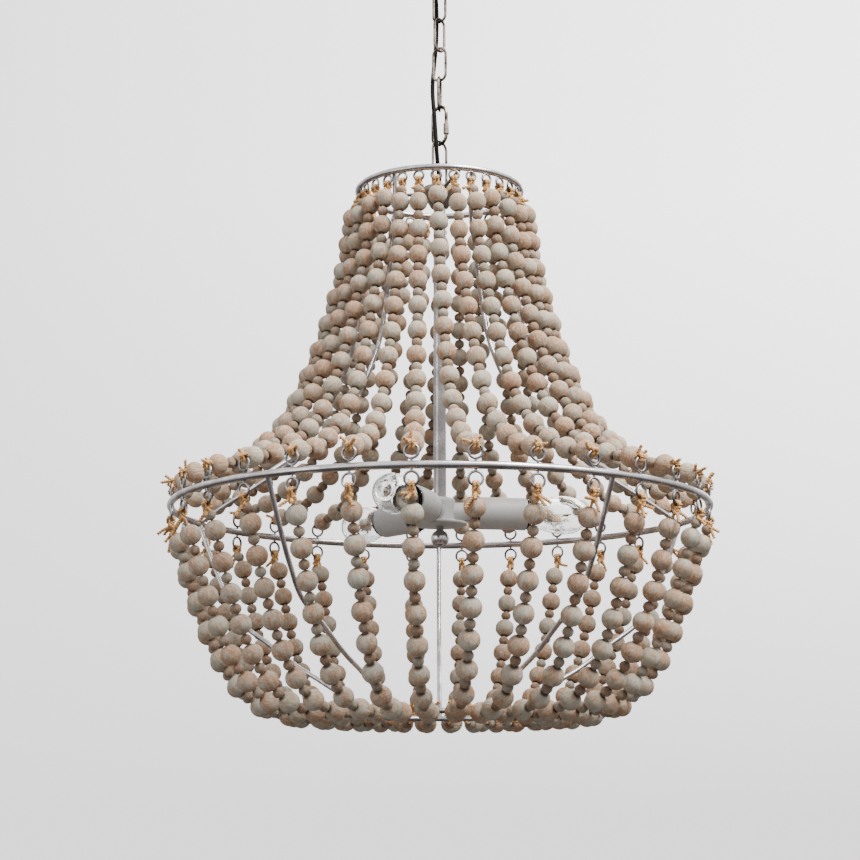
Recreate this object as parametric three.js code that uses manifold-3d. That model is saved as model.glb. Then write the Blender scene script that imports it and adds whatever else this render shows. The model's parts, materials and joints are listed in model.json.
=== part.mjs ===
// A beaded chandelier: a bell of wooden beads over a basket of beads, strung on three wire
// rings, with three lamps inside, hung by a chain from a ceiling canopy.
// Millimetres, +Z up. The origin is the middle of the ceiling bar's top face.
// Angles round the chandelier are in degrees from the front (-Y), growing towards +X.

import * as THREE from 'three';
import { mergeVertices } from 'three/addons/utils/BufferGeometryUtils.js';
import Module from 'manifold-3d';

const wasm = await Module();
wasm.setup();

// Clearances
const seatGap = 0.3; // between two pieces that touch
const cutOverrun = 4; // how far a cut runs past a face
const weldDepth = 1.2; // how far a welded wire sinks into the other

// Ceiling bar
const barLength = 104;
const barWidth = 20;
const barThickness = 2.5;

// Canopy
const canopyRadius = 60;
const canopyHeight = 31;
const canopyWall = 1.4;
const canopyRimHeight = 7;
const canopyShoulder = 14; // how far the shoulder draws in

// Canopy screws, with dome nuts under the canopy
const screwRadius = 2;
const screwSpacing = 76;
const domeNutRadius = 4.5;
const domeNutHeight = 7;

// Loop under the canopy
const canopyLoopRadius = 11.5;
const canopyLoopWire = 3.2;
const canopyLoopYaw = 60;
const collarRadius = 6.5;
const collarHeight = 3;
const shankRadius = 3.2;
const shankNutRadius = 7;
const shankNutHeight = 4;
const shankSpare = 2;

// Chain
const linkWire = 3.2;
const linkLength = 42.7;
const linkWidth = 19;
const linkYaws = [-30, 45, -25, 80];

// Quick link, a link with a screw sleeve over its gap
const quickWire = 4;
const quickLength = 49.2;
const quickWidth = 24;
const quickYaw = -40;
const quickGapLength = 7;
const quickGapDropShare = 0.12;
const quickSleeveRadius = 3.5;
const quickSleeveLength = 13;

// Bail that stands on the top hub
const bailWire = 3;
const bailWidth = 23;
const bailHeight = 56;
const bailYaw = 40;

// Power cord
const cordDiameter = 5;
const grommetRadius = 5;
const grommetFlange = 6.5;
const grommetFlangeHeight = 1.6;
const grommetPlace = [-7, 16];

// Rings
const topRingRadius = 92.8;
const topRingWire = 7;
const middleRingRadius = 296;
const middleRingWire = 8;
const bottomRingRadius = 90;
const bottomRingWire = 6;
const bellHeight = 366.7; // top ring above the middle ring
const basketDepth = 224.4; // bottom ring below the middle ring

// Eyelets
const strandCount = 30;
const eyeletWire = 2.4;
const topEyeletSize = 13.6;
const middleEyeletSize = 16.4;
const middleEyeletNeck = 2.2;
const topEyeletAngle = -2.2;
const middleEyeletAngle = 6.7;

// Beads, knots and twine
const sectorStrands = 5;
const upperTopBeadDiameter = 20.6;
const upperFootBeadDiameter = 22.3;
const upperBeadPitch = 31.2;
const lowerBeadDiameter = 22.4;
const lowerBeadPitch = 33.1;
const smallBeadDiameter = 12.2;
const topKnotDiameter = 8;
const middleKnotDiameter = 9.6;
const bottomKnotDiameter = 8;
const twineDiameter = 2.6;
const upperFirstBead = 24;
const upperLastClear = 11; // length of string past the last bead's middle
const lowerFirstBead = 23.7;
const lowerLastClear = 30; // least length of string past the last bead's middle
// How far each strand's beads are moved along it, of the bead pitch
const upperShiftShares = [-0.14, 0.18, 0.07, -0.18, 0.07, 0.13, -0.09, -0.22, 0.07, 0.14];
const lowerShiftShares = [-0.13, 0.02, 0.02, 0.02, 0, 0.08, 0.05, -0.05, -0.05, 0.07];

// Ribs
const ribWire = 5.4;
const ribAngles = [35.4, 110.4, 180.3, -109.8, -35.2];
const ribLeans = [-11.1, 0, 0, 0, 0]; // turn of each upper rib's top from its foot

// Top hub and stem
const hubRadius = 20;
const hubRimHeight = 6;
const hubHeight = 24;
const hubFootRadius = 9.5;
const hubRise = 5; // top face above the ring's centre line
const hubPlate = 8;
const spokeWire = 4;
const spokeAngles = [15, 135, -105];
const stemRadius = 7;
const stemBoreRadius = 5;

// Lamp hub, finial and lamps
const lampDrop = 2; // lamp axes below the middle ring
const lampAngles = [-20, 100, 220];
const lampHubRadius = 17;
const lampHubHeight = 31;
const lampHubEdge = 3;
const lampDishRadius = 30; // round plate under the hub
const lampDishHeight = 4;
const lampDishEdge = 1.5;
const lampArmRadius = 11;
const lampStart = 38; // back of the socket from the stem's axis
const stemSocketDepth = 9;
const finialRadius = 10;
const finialNeckRadius = 4;
const finialNeckLength = 4;
const socketRadius = 15.4;
const socketFlangeRadius = 17;
const socketFlangeLength = 4;
const socketLength = 63;
const socketFloor = 24;
const sleeveRadius = 18;
const bulbBaseRadius = 13;
const bulbGlassRadius = 21.3;
const bulbTip = 171; // tip of the glass from the stem's axis

// Height of each level
const canopyFloor = -canopyHeight;
const loopCentre = canopyFloor - seatGap - collarHeight + weldDepth - canopyLoopRadius - canopyLoopWire / 2;
const firstLinkTop = loopCentre - canopyLoopRadius + (canopyLoopWire + linkWire) / 2 + seatGap;
const linkDrop = linkLength - 2 * linkWire - seatGap;
const lastLinkBottom = firstLinkTop - (linkLength - linkWire) - (linkYaws.length - 1) * linkDrop;
const quickTop = lastLinkBottom + (linkWire + quickWire) / 2 + seatGap;
const quickBottom = quickTop - (quickLength - quickWire);
const bailTop = quickBottom + (quickWire + bailWire) / 2 + seatGap;
const hubTop = bailTop - bailHeight;
const topRingHeight = hubTop - hubRise;
const middleRingHeight = topRingHeight - bellHeight;
const bottomRingHeight = middleRingHeight - basketDepth;
const lampHeight = middleRingHeight - lampDrop;

const colours = {
  iron: new THREE.MeshStandardMaterial({ color: '#6b645c', roughness: 0.5, metalness: 0.9 }),
  silver: new THREE.MeshStandardMaterial({ color: '#a6a4a7', roughness: 0.4, metalness: 0.6 }),
  wood: new THREE.MeshStandardMaterial({ color: '#b3a08e', roughness: 0.85, metalness: 0 }),
  lampPaint: new THREE.MeshStandardMaterial({ color: '#979ea1', roughness: 0.6, metalness: 0.1 }),
  black: new THREE.MeshStandardMaterial({ color: '#151414', roughness: 0.5, metalness: 0 }),
  glass: new THREE.MeshStandardMaterial({ color: '#e8ecec', roughness: 0.05, metalness: 0 }),
};

// The closed solid of a three.js geometry
function solidOf(geometry) {
  const bare = new THREE.BufferGeometry();
  bare.setAttribute('position', geometry.getAttribute('position'));
  if (geometry.index) bare.setIndex(geometry.index);
  const merged = mergeVertices(bare, seatGap / 1000);
  const corners = merged.index.array;
  const kept = [];
  for (let i = 0; i < corners.length; i += 3) {
    const [a, b, c] = [corners[i], corners[i + 1], corners[i + 2]];
    if (a !== b && b !== c && c !== a) kept.push(a, b, c);
  }
  const solid = new wasm.Manifold(new wasm.Mesh({
    numProp: 3,
    vertProperties: new Float32Array(merged.getAttribute('position').array),
    triVerts: new Uint32Array(kept),
  }));
  return solid;
}

function meshOf(name, solid, material) {
  const { vertProperties, triVerts, numProp } = solid.getMesh();
  const places = new Float32Array((vertProperties.length / numProp) * 3);
  for (let i = 0; i < places.length / 3; i += 1) {
    for (let axis = 0; axis < 3; axis += 1) places[i * 3 + axis] = vertProperties[i * numProp + axis];
  }
  const geometry = new THREE.BufferGeometry();
  geometry.setAttribute('position', new THREE.BufferAttribute(places, 3));
  geometry.setIndex(new THREE.BufferAttribute(new Uint32Array(triVerts), 1));
  geometry.computeVertexNormals();
  const mesh = new THREE.Mesh(geometry, material);
  mesh.name = name;
  return mesh;
}

const joined = (solids) => wasm.Manifold.union(solids);

// Directions round the chandelier
const up = new THREE.Vector3(0, 0, 1);
const radians = THREE.MathUtils.degToRad;
const outward = (angle) => new THREE.Vector3(Math.sin(radians(angle)), -Math.cos(radians(angle)), 0);
const sideways = (angle) => new THREE.Vector3(Math.cos(radians(angle)), Math.sin(radians(angle)), 0);
const placeAt = (angle, radius, height) => outward(angle).multiplyScalar(radius).addScaledVector(up, height);

// Turns a shape whose own Z is its axis so that the axis points outward at an angle
function pointedOutward(geometry, angle, height) {
  const turn = new THREE.Matrix4().makeBasis(sideways(angle), up, outward(angle));
  return geometry.applyMatrix4(turn).translate(0, 0, height);
}

// A closed lathe about Z; LatheGeometry turns about Y
function lathe(points, sides) {
  const profile = points.map(([radius, height]) => new THREE.Vector2(radius, height));
  return new THREE.LatheGeometry(profile, sides).rotateX(Math.PI / 2);
}

const rod = (radius, length, sides) => new THREE.CylinderGeometry(radius, radius, length, sides).rotateX(Math.PI / 2);

// A tube through points that lie in one plane, with a radius at each point. Staggered, every
// other section is turned by half a side.
function flatTube(centres, acrossPlane, radii, sides, closed, firstTurn = 0, staggered = false) {
  const places = [];
  const faces = [];
  const count = centres.length;
  centres.forEach((centre, i) => {
    const before = centres[closed ? (i - 1 + count) % count : Math.max(i - 1, 0)];
    const after = centres[closed ? (i + 1) % count : Math.min(i + 1, count - 1)];
    const along = after.clone().sub(before).normalize();
    const inPlane = along.clone().cross(acrossPlane);
    for (let side = 0; side < sides; side += 1) {
      const turn = firstTurn + (Math.PI * (2 * side + (staggered ? i % 2 : 0))) / sides;
      const place = centre.clone()
        .addScaledVector(acrossPlane, radii[i] * Math.cos(turn))
        .addScaledVector(inPlane, radii[i] * Math.sin(turn));
      places.push(place.x, place.y, place.z);
    }
  });
  for (let i = 0; i < (closed ? count : count - 1); i += 1) {
    const here = i * sides;
    const next = ((i + 1) % count) * sides;
    for (let side = 0; side < sides; side += 1) {
      const other = (side + 1) % sides;
      if (staggered && i % 2 === 0) {
        faces.push(here + side, here + other, next + side, here + other, next + other, next + side);
      } else {
        faces.push(here + side, here + other, next + other, here + side, next + other, next + side);
      }
    }
  }
  if (!closed) {
    const last = (count - 1) * sides;
    for (let side = 1; side < sides - 1; side += 1) {
      faces.push(0, side + 1, side, last, last + side, last + side + 1);
    }
  }
  const geometry = new THREE.BufferGeometry();
  geometry.setAttribute('position', new THREE.Float32BufferAttribute(places, 3));
  geometry.setIndex(faces);
  return geometry;
}

const evenTube = (centres, acrossPlane, radius, sides, closed = false) => (
  flatTube(centres, acrossPlane, centres.map(() => radius), sides, closed));

// Ceiling fitting
function ceilingBar() {
  const plate = new THREE.BoxGeometry(barLength, barWidth, barThickness).translate(0, 0, -barThickness / 2);
  const holes = [-1, 1].map((side) => solidOf(
    rod(screwRadius + seatGap, barThickness + 2 * cutOverrun, 12).translate((side * screwSpacing) / 2, 0, 0)));
  return solidOf(plate).subtract(joined(holes));
}

function canopy() {
  const inner = canopyRadius - canopyWall;
  const shoulder = [0, 1 / 3, 2 / 3, 1].map((share) => (share * Math.PI) / 2);
  const shell = (radius, height) => shoulder.map((turn) => [
    radius - canopyShoulder * (1 - Math.cos(turn)),
    -(height - canopyRimHeight) * Math.sin(turn) - canopyRimHeight,
  ]);
  const hole = shankRadius + seatGap;
  const profile = [
    [hole, canopyFloor], ...shell(canopyRadius, canopyHeight).reverse(), [canopyRadius, -seatGap],
    [inner, -seatGap], ...shell(inner, canopyHeight - canopyWall), [hole, canopyFloor + canopyWall],
    [hole, canopyFloor],
  ];
  const holes = [-1, 1].map((side) => solidOf(
    rod(screwRadius + seatGap, canopyWall + 2 * cutOverrun, 12).translate((side * screwSpacing) / 2, 0, canopyFloor)));
  const cordHole = solidOf(
    rod(grommetRadius + seatGap, canopyWall + 2 * cutOverrun, 12).translate(...grommetPlace, canopyFloor));
  return solidOf(lathe(profile, 22)).subtract(joined([...holes, cordHole]));
}

function canopyScrew(side) {
  const seat = canopyFloor - seatGap;
  const profile = [
    [0, seat - domeNutHeight], [domeNutRadius * 0.6, seat - domeNutHeight * 0.85],
    [domeNutRadius, seat - domeNutHeight * 0.45], [domeNutRadius, seat], [screwRadius, seat],
    [screwRadius, -seatGap], [0, -seatGap],
  ];
  return solidOf(lathe(profile, 10).translate((side * screwSpacing) / 2, 0, 0));
}

const shankTop = canopyFloor + canopyWall + seatGap + shankNutHeight + shankSpare;

function canopyLoop() {
  const collarTop = canopyFloor - seatGap;
  const collar = lathe([
    [0, collarTop - collarHeight], [collarRadius, collarTop - collarHeight], [collarRadius, collarTop],
    [shankRadius, collarTop], [shankRadius, shankTop], [0, shankTop],
  ], 12);
  const eye = new THREE.TorusGeometry(canopyLoopRadius, canopyLoopWire / 2, 5, 16)
    .rotateX(Math.PI / 2).rotateZ(radians(canopyLoopYaw)).translate(0, 0, loopCentre);
  return joined([solidOf(collar), solidOf(eye)]);
}

function canopyLoopNut() {
  const nutBottom = canopyFloor + canopyWall + seatGap;
  const body = rod(shankNutRadius, shankNutHeight, 6).translate(0, 0, nutBottom + shankNutHeight / 2);
  const bore = rod(shankRadius + seatGap, shankNutHeight + 2 * cutOverrun, 12).translate(0, 0, nutBottom);
  return solidOf(body).subtract(solidOf(bore));
}

function cordGrommet() {
  const bore = cordDiameter / 2 + seatGap;
  const profile = [
    [bore, canopyFloor - seatGap - grommetFlangeHeight], [grommetFlange, canopyFloor - seatGap - grommetFlangeHeight],
    [grommetFlange, canopyFloor - seatGap], [grommetRadius, canopyFloor - seatGap],
    [grommetRadius, canopyFloor + canopyWall + grommetFlangeHeight],
    [bore, canopyFloor + canopyWall + grommetFlangeHeight],
    [bore, canopyFloor - seatGap - grommetFlangeHeight],
  ];
  return solidOf(lathe(profile, 12).translate(...grommetPlace, 0));
}

// Centre line of a link: two straight sides and two half circles, its first point at mid-side
function linkLine(length, width, wire, top, yaw, arcSteps) {
  const half = (width - wire) / 2;
  const middle = top - (length - wire) / 2;
  const straight = (length - width) / 2;
  const along = new THREE.Vector3(Math.cos(radians(yaw)), Math.sin(radians(yaw)), 0);
  const centres = [];
  for (const end of [1, -1]) {
    for (let step = 0; step <= arcSteps; step += 1) {
      const turn = (Math.PI * step) / arcSteps;
      centres.push(along.clone().multiplyScalar(end * half * Math.cos(turn))
        .addScaledVector(up, middle + end * (straight + half * Math.sin(turn))));
    }
  }
  const acrossPlane = new THREE.Vector3(-Math.sin(radians(yaw)), Math.cos(radians(yaw)), 0);
  return { centres, acrossPlane, middle, half, straight, along };
}

function chainLink(index) {
  const line = linkLine(linkLength, linkWidth, linkWire, firstLinkTop - index * linkDrop, linkYaws[index], 6);
  return solidOf(evenTube(line.centres, line.acrossPlane, linkWire / 2, 5, true));
}

const quickLine = linkLine(quickLength, quickWidth, quickWire, quickTop, quickYaw, 6);
const quickGapHeight = quickLine.middle - quickGapDropShare * quickLength;

function quickLink() {
  const body = solidOf(evenTube(quickLine.centres, quickLine.acrossPlane, quickWire / 2, 6, true));
  const opening = new THREE.BoxGeometry(quickWire * 2, quickWire * 2, quickGapLength)
    .rotateZ(radians(quickYaw)).translate(0, 0, quickGapHeight)
    .translate(quickLine.half * quickLine.along.x, quickLine.half * quickLine.along.y, 0);
  return body.subtract(solidOf(opening));
}

function quickLinkSleeve() {
  const wall = quickWire / 2 + seatGap;
  const body = rod(quickSleeveRadius, quickSleeveLength, 6);
  const bore = rod(wall, quickSleeveLength + 2 * cutOverrun, 8);
  return solidOf(body).subtract(solidOf(bore)).translate(
    quickLine.half * quickLine.along.x, quickLine.half * quickLine.along.y, quickGapHeight);
}

// Bail, hub and stem
function bail() {
  const half = (bailWidth - bailWire) / 2;
  const along = new THREE.Vector3(Math.cos(radians(bailYaw)), Math.sin(radians(bailYaw)), 0);
  const acrossPlane = new THREE.Vector3(-along.y, along.x, 0);
  const foot = hubTop - hubPlate + seatGap;
  const centres = [along.clone().multiplyScalar(half).setZ(foot)];
  const arcSteps = 8;
  for (let step = 0; step <= arcSteps; step += 1) {
    const turn = (Math.PI * step) / arcSteps;
    centres.push(along.clone().multiplyScalar(half * Math.cos(turn))
      .addScaledVector(up, bailTop - half + half * Math.sin(turn)));
  }
  centres.push(along.clone().multiplyScalar(-half).setZ(foot));
  return solidOf(evenTube(centres, acrossPlane, bailWire / 2, 6));
}

function topHub() {
  const body = lathe([
    [0, hubTop - hubHeight], [hubFootRadius, hubTop - hubHeight], [hubRadius, hubTop - hubRimHeight],
    [hubRadius, hubTop], [0, hubTop],
  ], 20);
  const spokeStart = hubRadius - weldDepth;
  const spokeEnd = topRingRadius * Math.cos(Math.PI / strandCount) - topRingWire / 2 - seatGap;
  const spokes = spokeAngles.map((angle) => solidOf(pointedOutward(
    rod(spokeWire / 2, spokeEnd - spokeStart, 6).translate(0, 0, (spokeStart + spokeEnd) / 2), angle, topRingHeight)));
  const along = new THREE.Vector3(Math.cos(radians(bailYaw)), Math.sin(radians(bailYaw)), 0);
  const half = (bailWidth - bailWire) / 2;
  const bailHoles = [-1, 1].map((side) => solidOf(rod(bailWire / 2 + seatGap, hubPlate + cutOverrun, 8)
    .translate(side * half * along.x, side * half * along.y, hubTop + (cutOverrun - hubPlate) / 2)));
  const cordHole = solidOf(rod(cordDiameter / 2 + seatGap, hubHeight * 2, 12).translate(0, 0, hubTop));
  const stemHole = solidOf(rod(stemRadius + seatGap, hubHeight - hubPlate + cutOverrun, 16)
    .translate(0, 0, hubTop - hubPlate - (hubHeight - hubPlate + cutOverrun) / 2));
  return joined([solidOf(body), ...spokes]).subtract(joined([...bailHoles, cordHole, stemHole]));
}

const lampHubTop = lampHeight + lampHubHeight / 2;

function stem() {
  const top = hubTop - hubPlate - seatGap;
  const bottom = lampHubTop - stemSocketDepth + seatGap;
  return solidOf(lathe([
    [stemBoreRadius, bottom], [stemRadius, bottom], [stemRadius, top], [stemBoreRadius, top],
    [stemBoreRadius, bottom],
  ], 16));
}

// Rings
// An eyelet is five-sided, with a corner away from the ring that it is welded to
const eyeletSides = 5;

function eyelet(angle, radius, ringHeight, side, offset, size) {
  const wire = new THREE.TorusGeometry((size - eyeletWire) / 2, eyeletWire / 2, 3, eyeletSides)
    .rotateZ((side * Math.PI) / 2);
  return solidOf(pointedOutward(wire.translate(0, 0, radius), angle, ringHeight + side * offset));
}

const strandAngles = (first) => Array.from({ length: strandCount }, (_, i) => first + (360 / strandCount) * i);
const eyeletOffset = (size, ringWire) => (
  ((size - eyeletWire) / 2) * Math.cos(Math.PI / eyeletSides) + (eyeletWire + ringWire) / 2 - weldDepth);
const topEyeletOffset = eyeletOffset(topEyeletSize, topRingWire);
const middleEyeletOffset = eyeletOffset(middleEyeletSize, middleRingWire) + middleEyeletNeck;

function eyeletNeck(angle, side) {
  const reach = middleRingWire / 2 + (middleEyeletNeck - weldDepth) / 2;
  const middle = placeAt(angle, middleRingRadius, middleRingHeight + side * reach);
  return solidOf(rod(eyeletWire / 2, middleEyeletNeck + weldDepth, 4).translate(...middle.toArray()));
}

function hoop(radius, wire, height, segments, sides, firstAngle) {
  return solidOf(new THREE.TorusGeometry(radius, wire / 2, sides, segments)
    .rotateZ(radians(firstAngle) - Math.PI / 2).translate(0, 0, height));
}

function topRing() {
  const eyelets = strandAngles(topEyeletAngle).map((angle) => (
    eyelet(angle, topRingRadius, topRingHeight, -1, topEyeletOffset, topEyeletSize)));
  return joined([
    hoop(topRingRadius, topRingWire, topRingHeight, strandCount, 6, topEyeletAngle), ...eyelets]);
}

function middleRing() {
  const eyelets = strandAngles(middleEyeletAngle).flatMap((angle) => [-1, 1].flatMap((side) => [
    eyelet(angle, middleRingRadius, middleRingHeight, side, middleEyeletOffset, middleEyeletSize),
    eyeletNeck(angle, side)]));
  return joined([
    hoop(middleRingRadius, middleRingWire, middleRingHeight, strandCount * 2, 6, middleEyeletAngle), ...eyelets]);
}

const bottomRing = () => hoop(bottomRingRadius, bottomRingWire, bottomRingHeight, strandCount, 6, middleEyeletAngle);

// Ribs: outlines as shares of the way from the narrow ring to the middle ring and of the height
const upperRibShares = [
  [-0.04, 0.88], [-0.015, 0.79], [0.05, 0.57], [0.1, 0.465], [0.203, 0.352],
  [0.355, 0.237], [0.448, 0.169], [0.818, 0.057]];
const lowerRibShares = [
  [0.888, 0.25], [0.82, 0.383], [0.728, 0.521], [0.553, 0.637], [0.388, 0.749], [0.248, 0.824], [0.097, 0.915]];

// A rib whose outline runs from one ring to another in the upright plane through its two ends
function ribTube(startAngle, endAngle, outline, steps) {
  const [startRadius] = outline[0];
  const [endRadius] = outline.at(-1);
  const start = placeAt(startAngle, startRadius, 0);
  const end = placeAt(endAngle, endRadius, 0);
  const curve = new THREE.CatmullRomCurve3(outline.map(([radius, height]) => (
    start.clone().lerp(end, (radius - startRadius) / (endRadius - startRadius)).setZ(height))));
  const run = end.clone().sub(start).normalize();
  return solidOf(evenTube(curve.getSpacedPoints(steps), new THREE.Vector3(-run.y, run.x, 0), ribWire / 2, 5));
}

// The end of a rod that is butted to a ring, coming from a point
function buttEnd(from, ringRadius, ringHeight, ringWire) {
  const back = new THREE.Vector2(from[0] - ringRadius, from[1] - ringHeight).setLength(ringWire / 2 + seatGap);
  return [ringRadius + back.x, ringHeight + back.y];
}

function upperRib(angle, lean) {
  const outline = upperRibShares.map(([out, rise]) => [
    THREE.MathUtils.lerp(topRingRadius, middleRingRadius, out), middleRingHeight + rise * bellHeight]);
  const besideTopRing = topRingRadius - (topRingWire + ribWire) / 2 - seatGap;
  outline.unshift([besideTopRing, topRingHeight + topRingWire / 4]);
  outline.push(buttEnd(outline.at(-1), middleRingRadius, middleRingHeight, middleRingWire));
  return ribTube(angle + lean, angle, outline, 10);
}

function lowerRib(angle) {
  const outline = lowerRibShares.map(([out, drop]) => [
    THREE.MathUtils.lerp(bottomRingRadius, middleRingRadius, out), middleRingHeight - drop * basketDepth]);
  outline.unshift(buttEnd(outline[0], middleRingRadius, middleRingHeight, middleRingWire));
  outline.push(buttEnd(outline.at(-1), bottomRingRadius, bottomRingHeight, bottomRingWire));
  return ribTube(angle, angle, outline, 9);
}

// Strands: outlines as shares of the way between two rings and of the height between them
const upperStrandShares = [
  [0.052, 0.885], [0.067, 0.79], [0.1, 0.71], [0.138, 0.63], [0.178, 0.553], [0.219, 0.48], [0.273, 0.403],
  [0.338, 0.323], [0.422, 0.24], [0.53, 0.174], [0.657, 0.121], [0.791, 0.083]];
const lowerStrandShares = [
  [0.955, 0.192], [0.913, 0.321], [0.864, 0.455], [0.806, 0.595], [0.734, 0.737], [0.641, 0.863], [0.523, 0.957],
  [0.38, 1.003], [0.225, 1.015], [0.106, 1.02]];

// One string of beads: three-sided, swollen at each big bead and drawn in at each small one.
// A big bead has an edge on the inner side, a small one on the outer side.
function beadString(curve, acrossPlane, firstBead, pitch, count, beadDiameters, startKnot, endKnot) {
  const length = curve.getLength();
  const diameterOf = (bead) => THREE.MathUtils.lerp(...beadDiameters, bead / Math.max(count - 1, 1));
  const stations = [[0, startKnot], [Math.max(firstBead - pitch / 2, startKnot), smallBeadDiameter]];
  for (let bead = 0; bead < count; bead += 1) {
    stations.push([firstBead + bead * pitch, diameterOf(bead)]);
    if (bead < count - 1) stations.push([firstBead + (bead + 0.5) * pitch, smallBeadDiameter]);
  }
  const lastEdge = firstBead + (count - 1) * pitch + diameterOf(count - 1) / 2;
  if (lastEdge < length) stations.push([(lastEdge + length) / 2, smallBeadDiameter]);
  stations.push([length, endKnot]);
  const sides = 3;
  const radii = stations.map(([, width]) => width / 2 / Math.sin((2 * Math.PI) / sides));
  const centres = stations.map(([at]) => curve.getPointAt(at / length));
  return flatTube(centres, acrossPlane, radii, sides, false, -Math.PI / 2, true);
}

// Where strings start and end: under the top eyelets, against the inner side of the upper middle eyelets,
// under the lower middle eyelets and against the outer side of the bottom ring
const upperStartHeight = topRingHeight - topEyeletOffset - topEyeletSize / 2 - seatGap;
const upperEndRadius = middleRingRadius - eyeletWire / 2 - seatGap;
const upperEndHeight = middleRingHeight + middleEyeletOffset + (middleEyeletSize - eyeletWire) / 2;
const lowerStartHeight = middleRingHeight - middleEyeletOffset - middleEyeletSize / 2 - seatGap;
const lowerEndRadius = bottomRingRadius + bottomRingWire / 2 + seatGap;
const lowerEndHeight = bottomRingHeight - bottomRingWire / 2;

// A string in the upright plane through its two ends
function stringCurve(start, end, ringSpan, outline) {
  const run = end.clone().sub(start).setZ(0);
  const direction = run.clone().normalize();
  const inner = outline.map(([reach, height]) => (
    start.clone().addScaledVector(direction, reach * ringSpan).setZ(height)));
  return {
    curve: new THREE.CatmullRomCurve3([start, ...inner, end]),
    acrossPlane: new THREE.Vector3(-direction.y, direction.x, 0),
  };
}

// The beads of an upper string are spread evenly down to the middle ring
function upperString(index) {
  const turn = (360 / strandCount) * index;
  const start = placeAt(topEyeletAngle + turn, topRingRadius, upperStartHeight);
  const end = placeAt(middleEyeletAngle + turn, upperEndRadius, upperEndHeight);
  const outline = upperStrandShares.map(([out, rise]) => [out, middleRingHeight + rise * bellHeight]);
  const { curve, acrossPlane } = stringCurve(start, end, middleRingRadius - topRingRadius, outline);
  const firstBead = upperFirstBead + upperShiftShares[index % upperShiftShares.length] * upperBeadPitch;
  const spread = curve.getLength() - upperFirstBead - upperLastClear;
  const steps = Math.round(spread / upperBeadPitch);
  const pitch = (curve.getLength() - upperLastClear - firstBead) / steps;
  return solidOf(beadString(curve, acrossPlane, firstBead, pitch, steps + 1,
    [upperTopBeadDiameter, upperFootBeadDiameter], topKnotDiameter, middleKnotDiameter));
}

// A lower string has as many beads as its length carries
function lowerString(index) {
  const angle = middleEyeletAngle + (360 / strandCount) * index;
  const start = placeAt(angle, middleRingRadius, lowerStartHeight);
  const end = placeAt(angle, lowerEndRadius, lowerEndHeight);
  const span = middleRingRadius - bottomRingRadius;
  const outline = lowerStrandShares.map(([out, drop]) => [1 - out, middleRingHeight - drop * basketDepth]);
  const { curve, acrossPlane } = stringCurve(start, end, span, outline);
  const firstBead = lowerFirstBead + lowerShiftShares[index % lowerShiftShares.length] * lowerBeadPitch;
  const steps = Math.floor((curve.getLength() - lowerFirstBead - lowerLastClear) / lowerBeadPitch);
  return solidOf(beadString(curve, acrossPlane.negate(), firstBead, lowerBeadPitch, steps + 1,
    [lowerBeadDiameter, lowerBeadDiameter], middleKnotDiameter, bottomKnotDiameter));
}

// A cut end of twine from one knot to the next
const twineTie = (from, to) => solidOf(evenTube([from, to], up, twineDiameter / 2, 3));

function sector(index, stringAt, knotAt) {
  const first = index * sectorStrands;
  const solids = [];
  for (let offset = 0; offset < sectorStrands; offset += 1) {
    const strand = first + offset;
    solids.push(stringAt(strand));
    if (offset < sectorStrands - 1) solids.push(twineTie(knotAt(strand), knotAt(strand + 1)));
  }
  return joined(solids);
}

const topKnotAt = (index) => placeAt(
  topEyeletAngle + (360 / strandCount) * index, topRingRadius, upperStartHeight - topKnotDiameter / 2);
const bottomKnotAt = (index) => placeAt(
  middleEyeletAngle + (360 / strandCount) * index, lowerEndRadius + bottomKnotDiameter / 2, lowerEndHeight);

// Lamps
function lampHub() {
  const half = lampHubHeight / 2;
  const body = lathe([
    [0, -half], [lampDishRadius - lampDishEdge, -half], [lampDishRadius, lampDishEdge - half],
    [lampDishRadius, lampDishHeight - half], [lampHubRadius, lampDishHeight - half],
    [lampHubRadius, half - lampHubEdge], [lampHubRadius - lampHubEdge, half], [0, half],
  ], 20).translate(0, 0, lampHeight);
  const armLength = lampStart - seatGap;
  const arms = lampAngles.map((angle) => solidOf(pointedOutward(
    rod(lampArmRadius, armLength, 14).translate(0, 0, armLength / 2), angle, lampHeight)));
  const stemHole = solidOf(rod(stemRadius + seatGap, 2 * stemSocketDepth, 16).translate(0, 0, lampHubTop));
  return joined([solidOf(body), ...arms]).subtract(stemHole);
}

function finial() {
  const top = lampHeight - lampHubHeight / 2 - seatGap;
  const centre = top - finialNeckLength - finialRadius;
  const ball = [];
  const steps = 7;
  for (let step = 0; step < steps; step += 1) {
    const turn = (Math.PI * step) / steps;
    ball.push([finialRadius * Math.sin(turn), centre - finialRadius * Math.cos(turn)]);
  }
  return solidOf(lathe([...ball, [finialNeckRadius, top - finialNeckLength], [finialNeckRadius, top], [0, top]], 12));
}

const socketFront = lampStart + socketLength;
const sleeveStart = lampStart + socketFlangeLength + seatGap;
const sleeveEnd = socketFront - socketFlangeLength - seatGap;
const socketSeat = lampStart + socketFloor;

function lampSocket(angle) {
  const bore = bulbBaseRadius + seatGap;
  const profile = [
    [0, lampStart], [socketFlangeRadius, lampStart], [socketFlangeRadius, lampStart + socketFlangeLength],
    [socketRadius, lampStart + socketFlangeLength], [socketRadius, socketFront - socketFlangeLength],
    [socketFlangeRadius, socketFront - socketFlangeLength], [socketFlangeRadius, socketFront],
    [bore, socketFront], [bore, socketSeat], [0, socketSeat],
  ];
  return solidOf(pointedOutward(lathe(profile, 14), angle, lampHeight));
}

function lampSleeve(angle) {
  const bore = socketRadius + seatGap;
  const profile = [
    [bore, sleeveStart], [sleeveRadius, sleeveStart], [sleeveRadius, sleeveEnd], [bore, sleeveEnd],
    [bore, sleeveStart],
  ];
  return solidOf(pointedOutward(lathe(profile, 16), angle, lampHeight));
}

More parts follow.
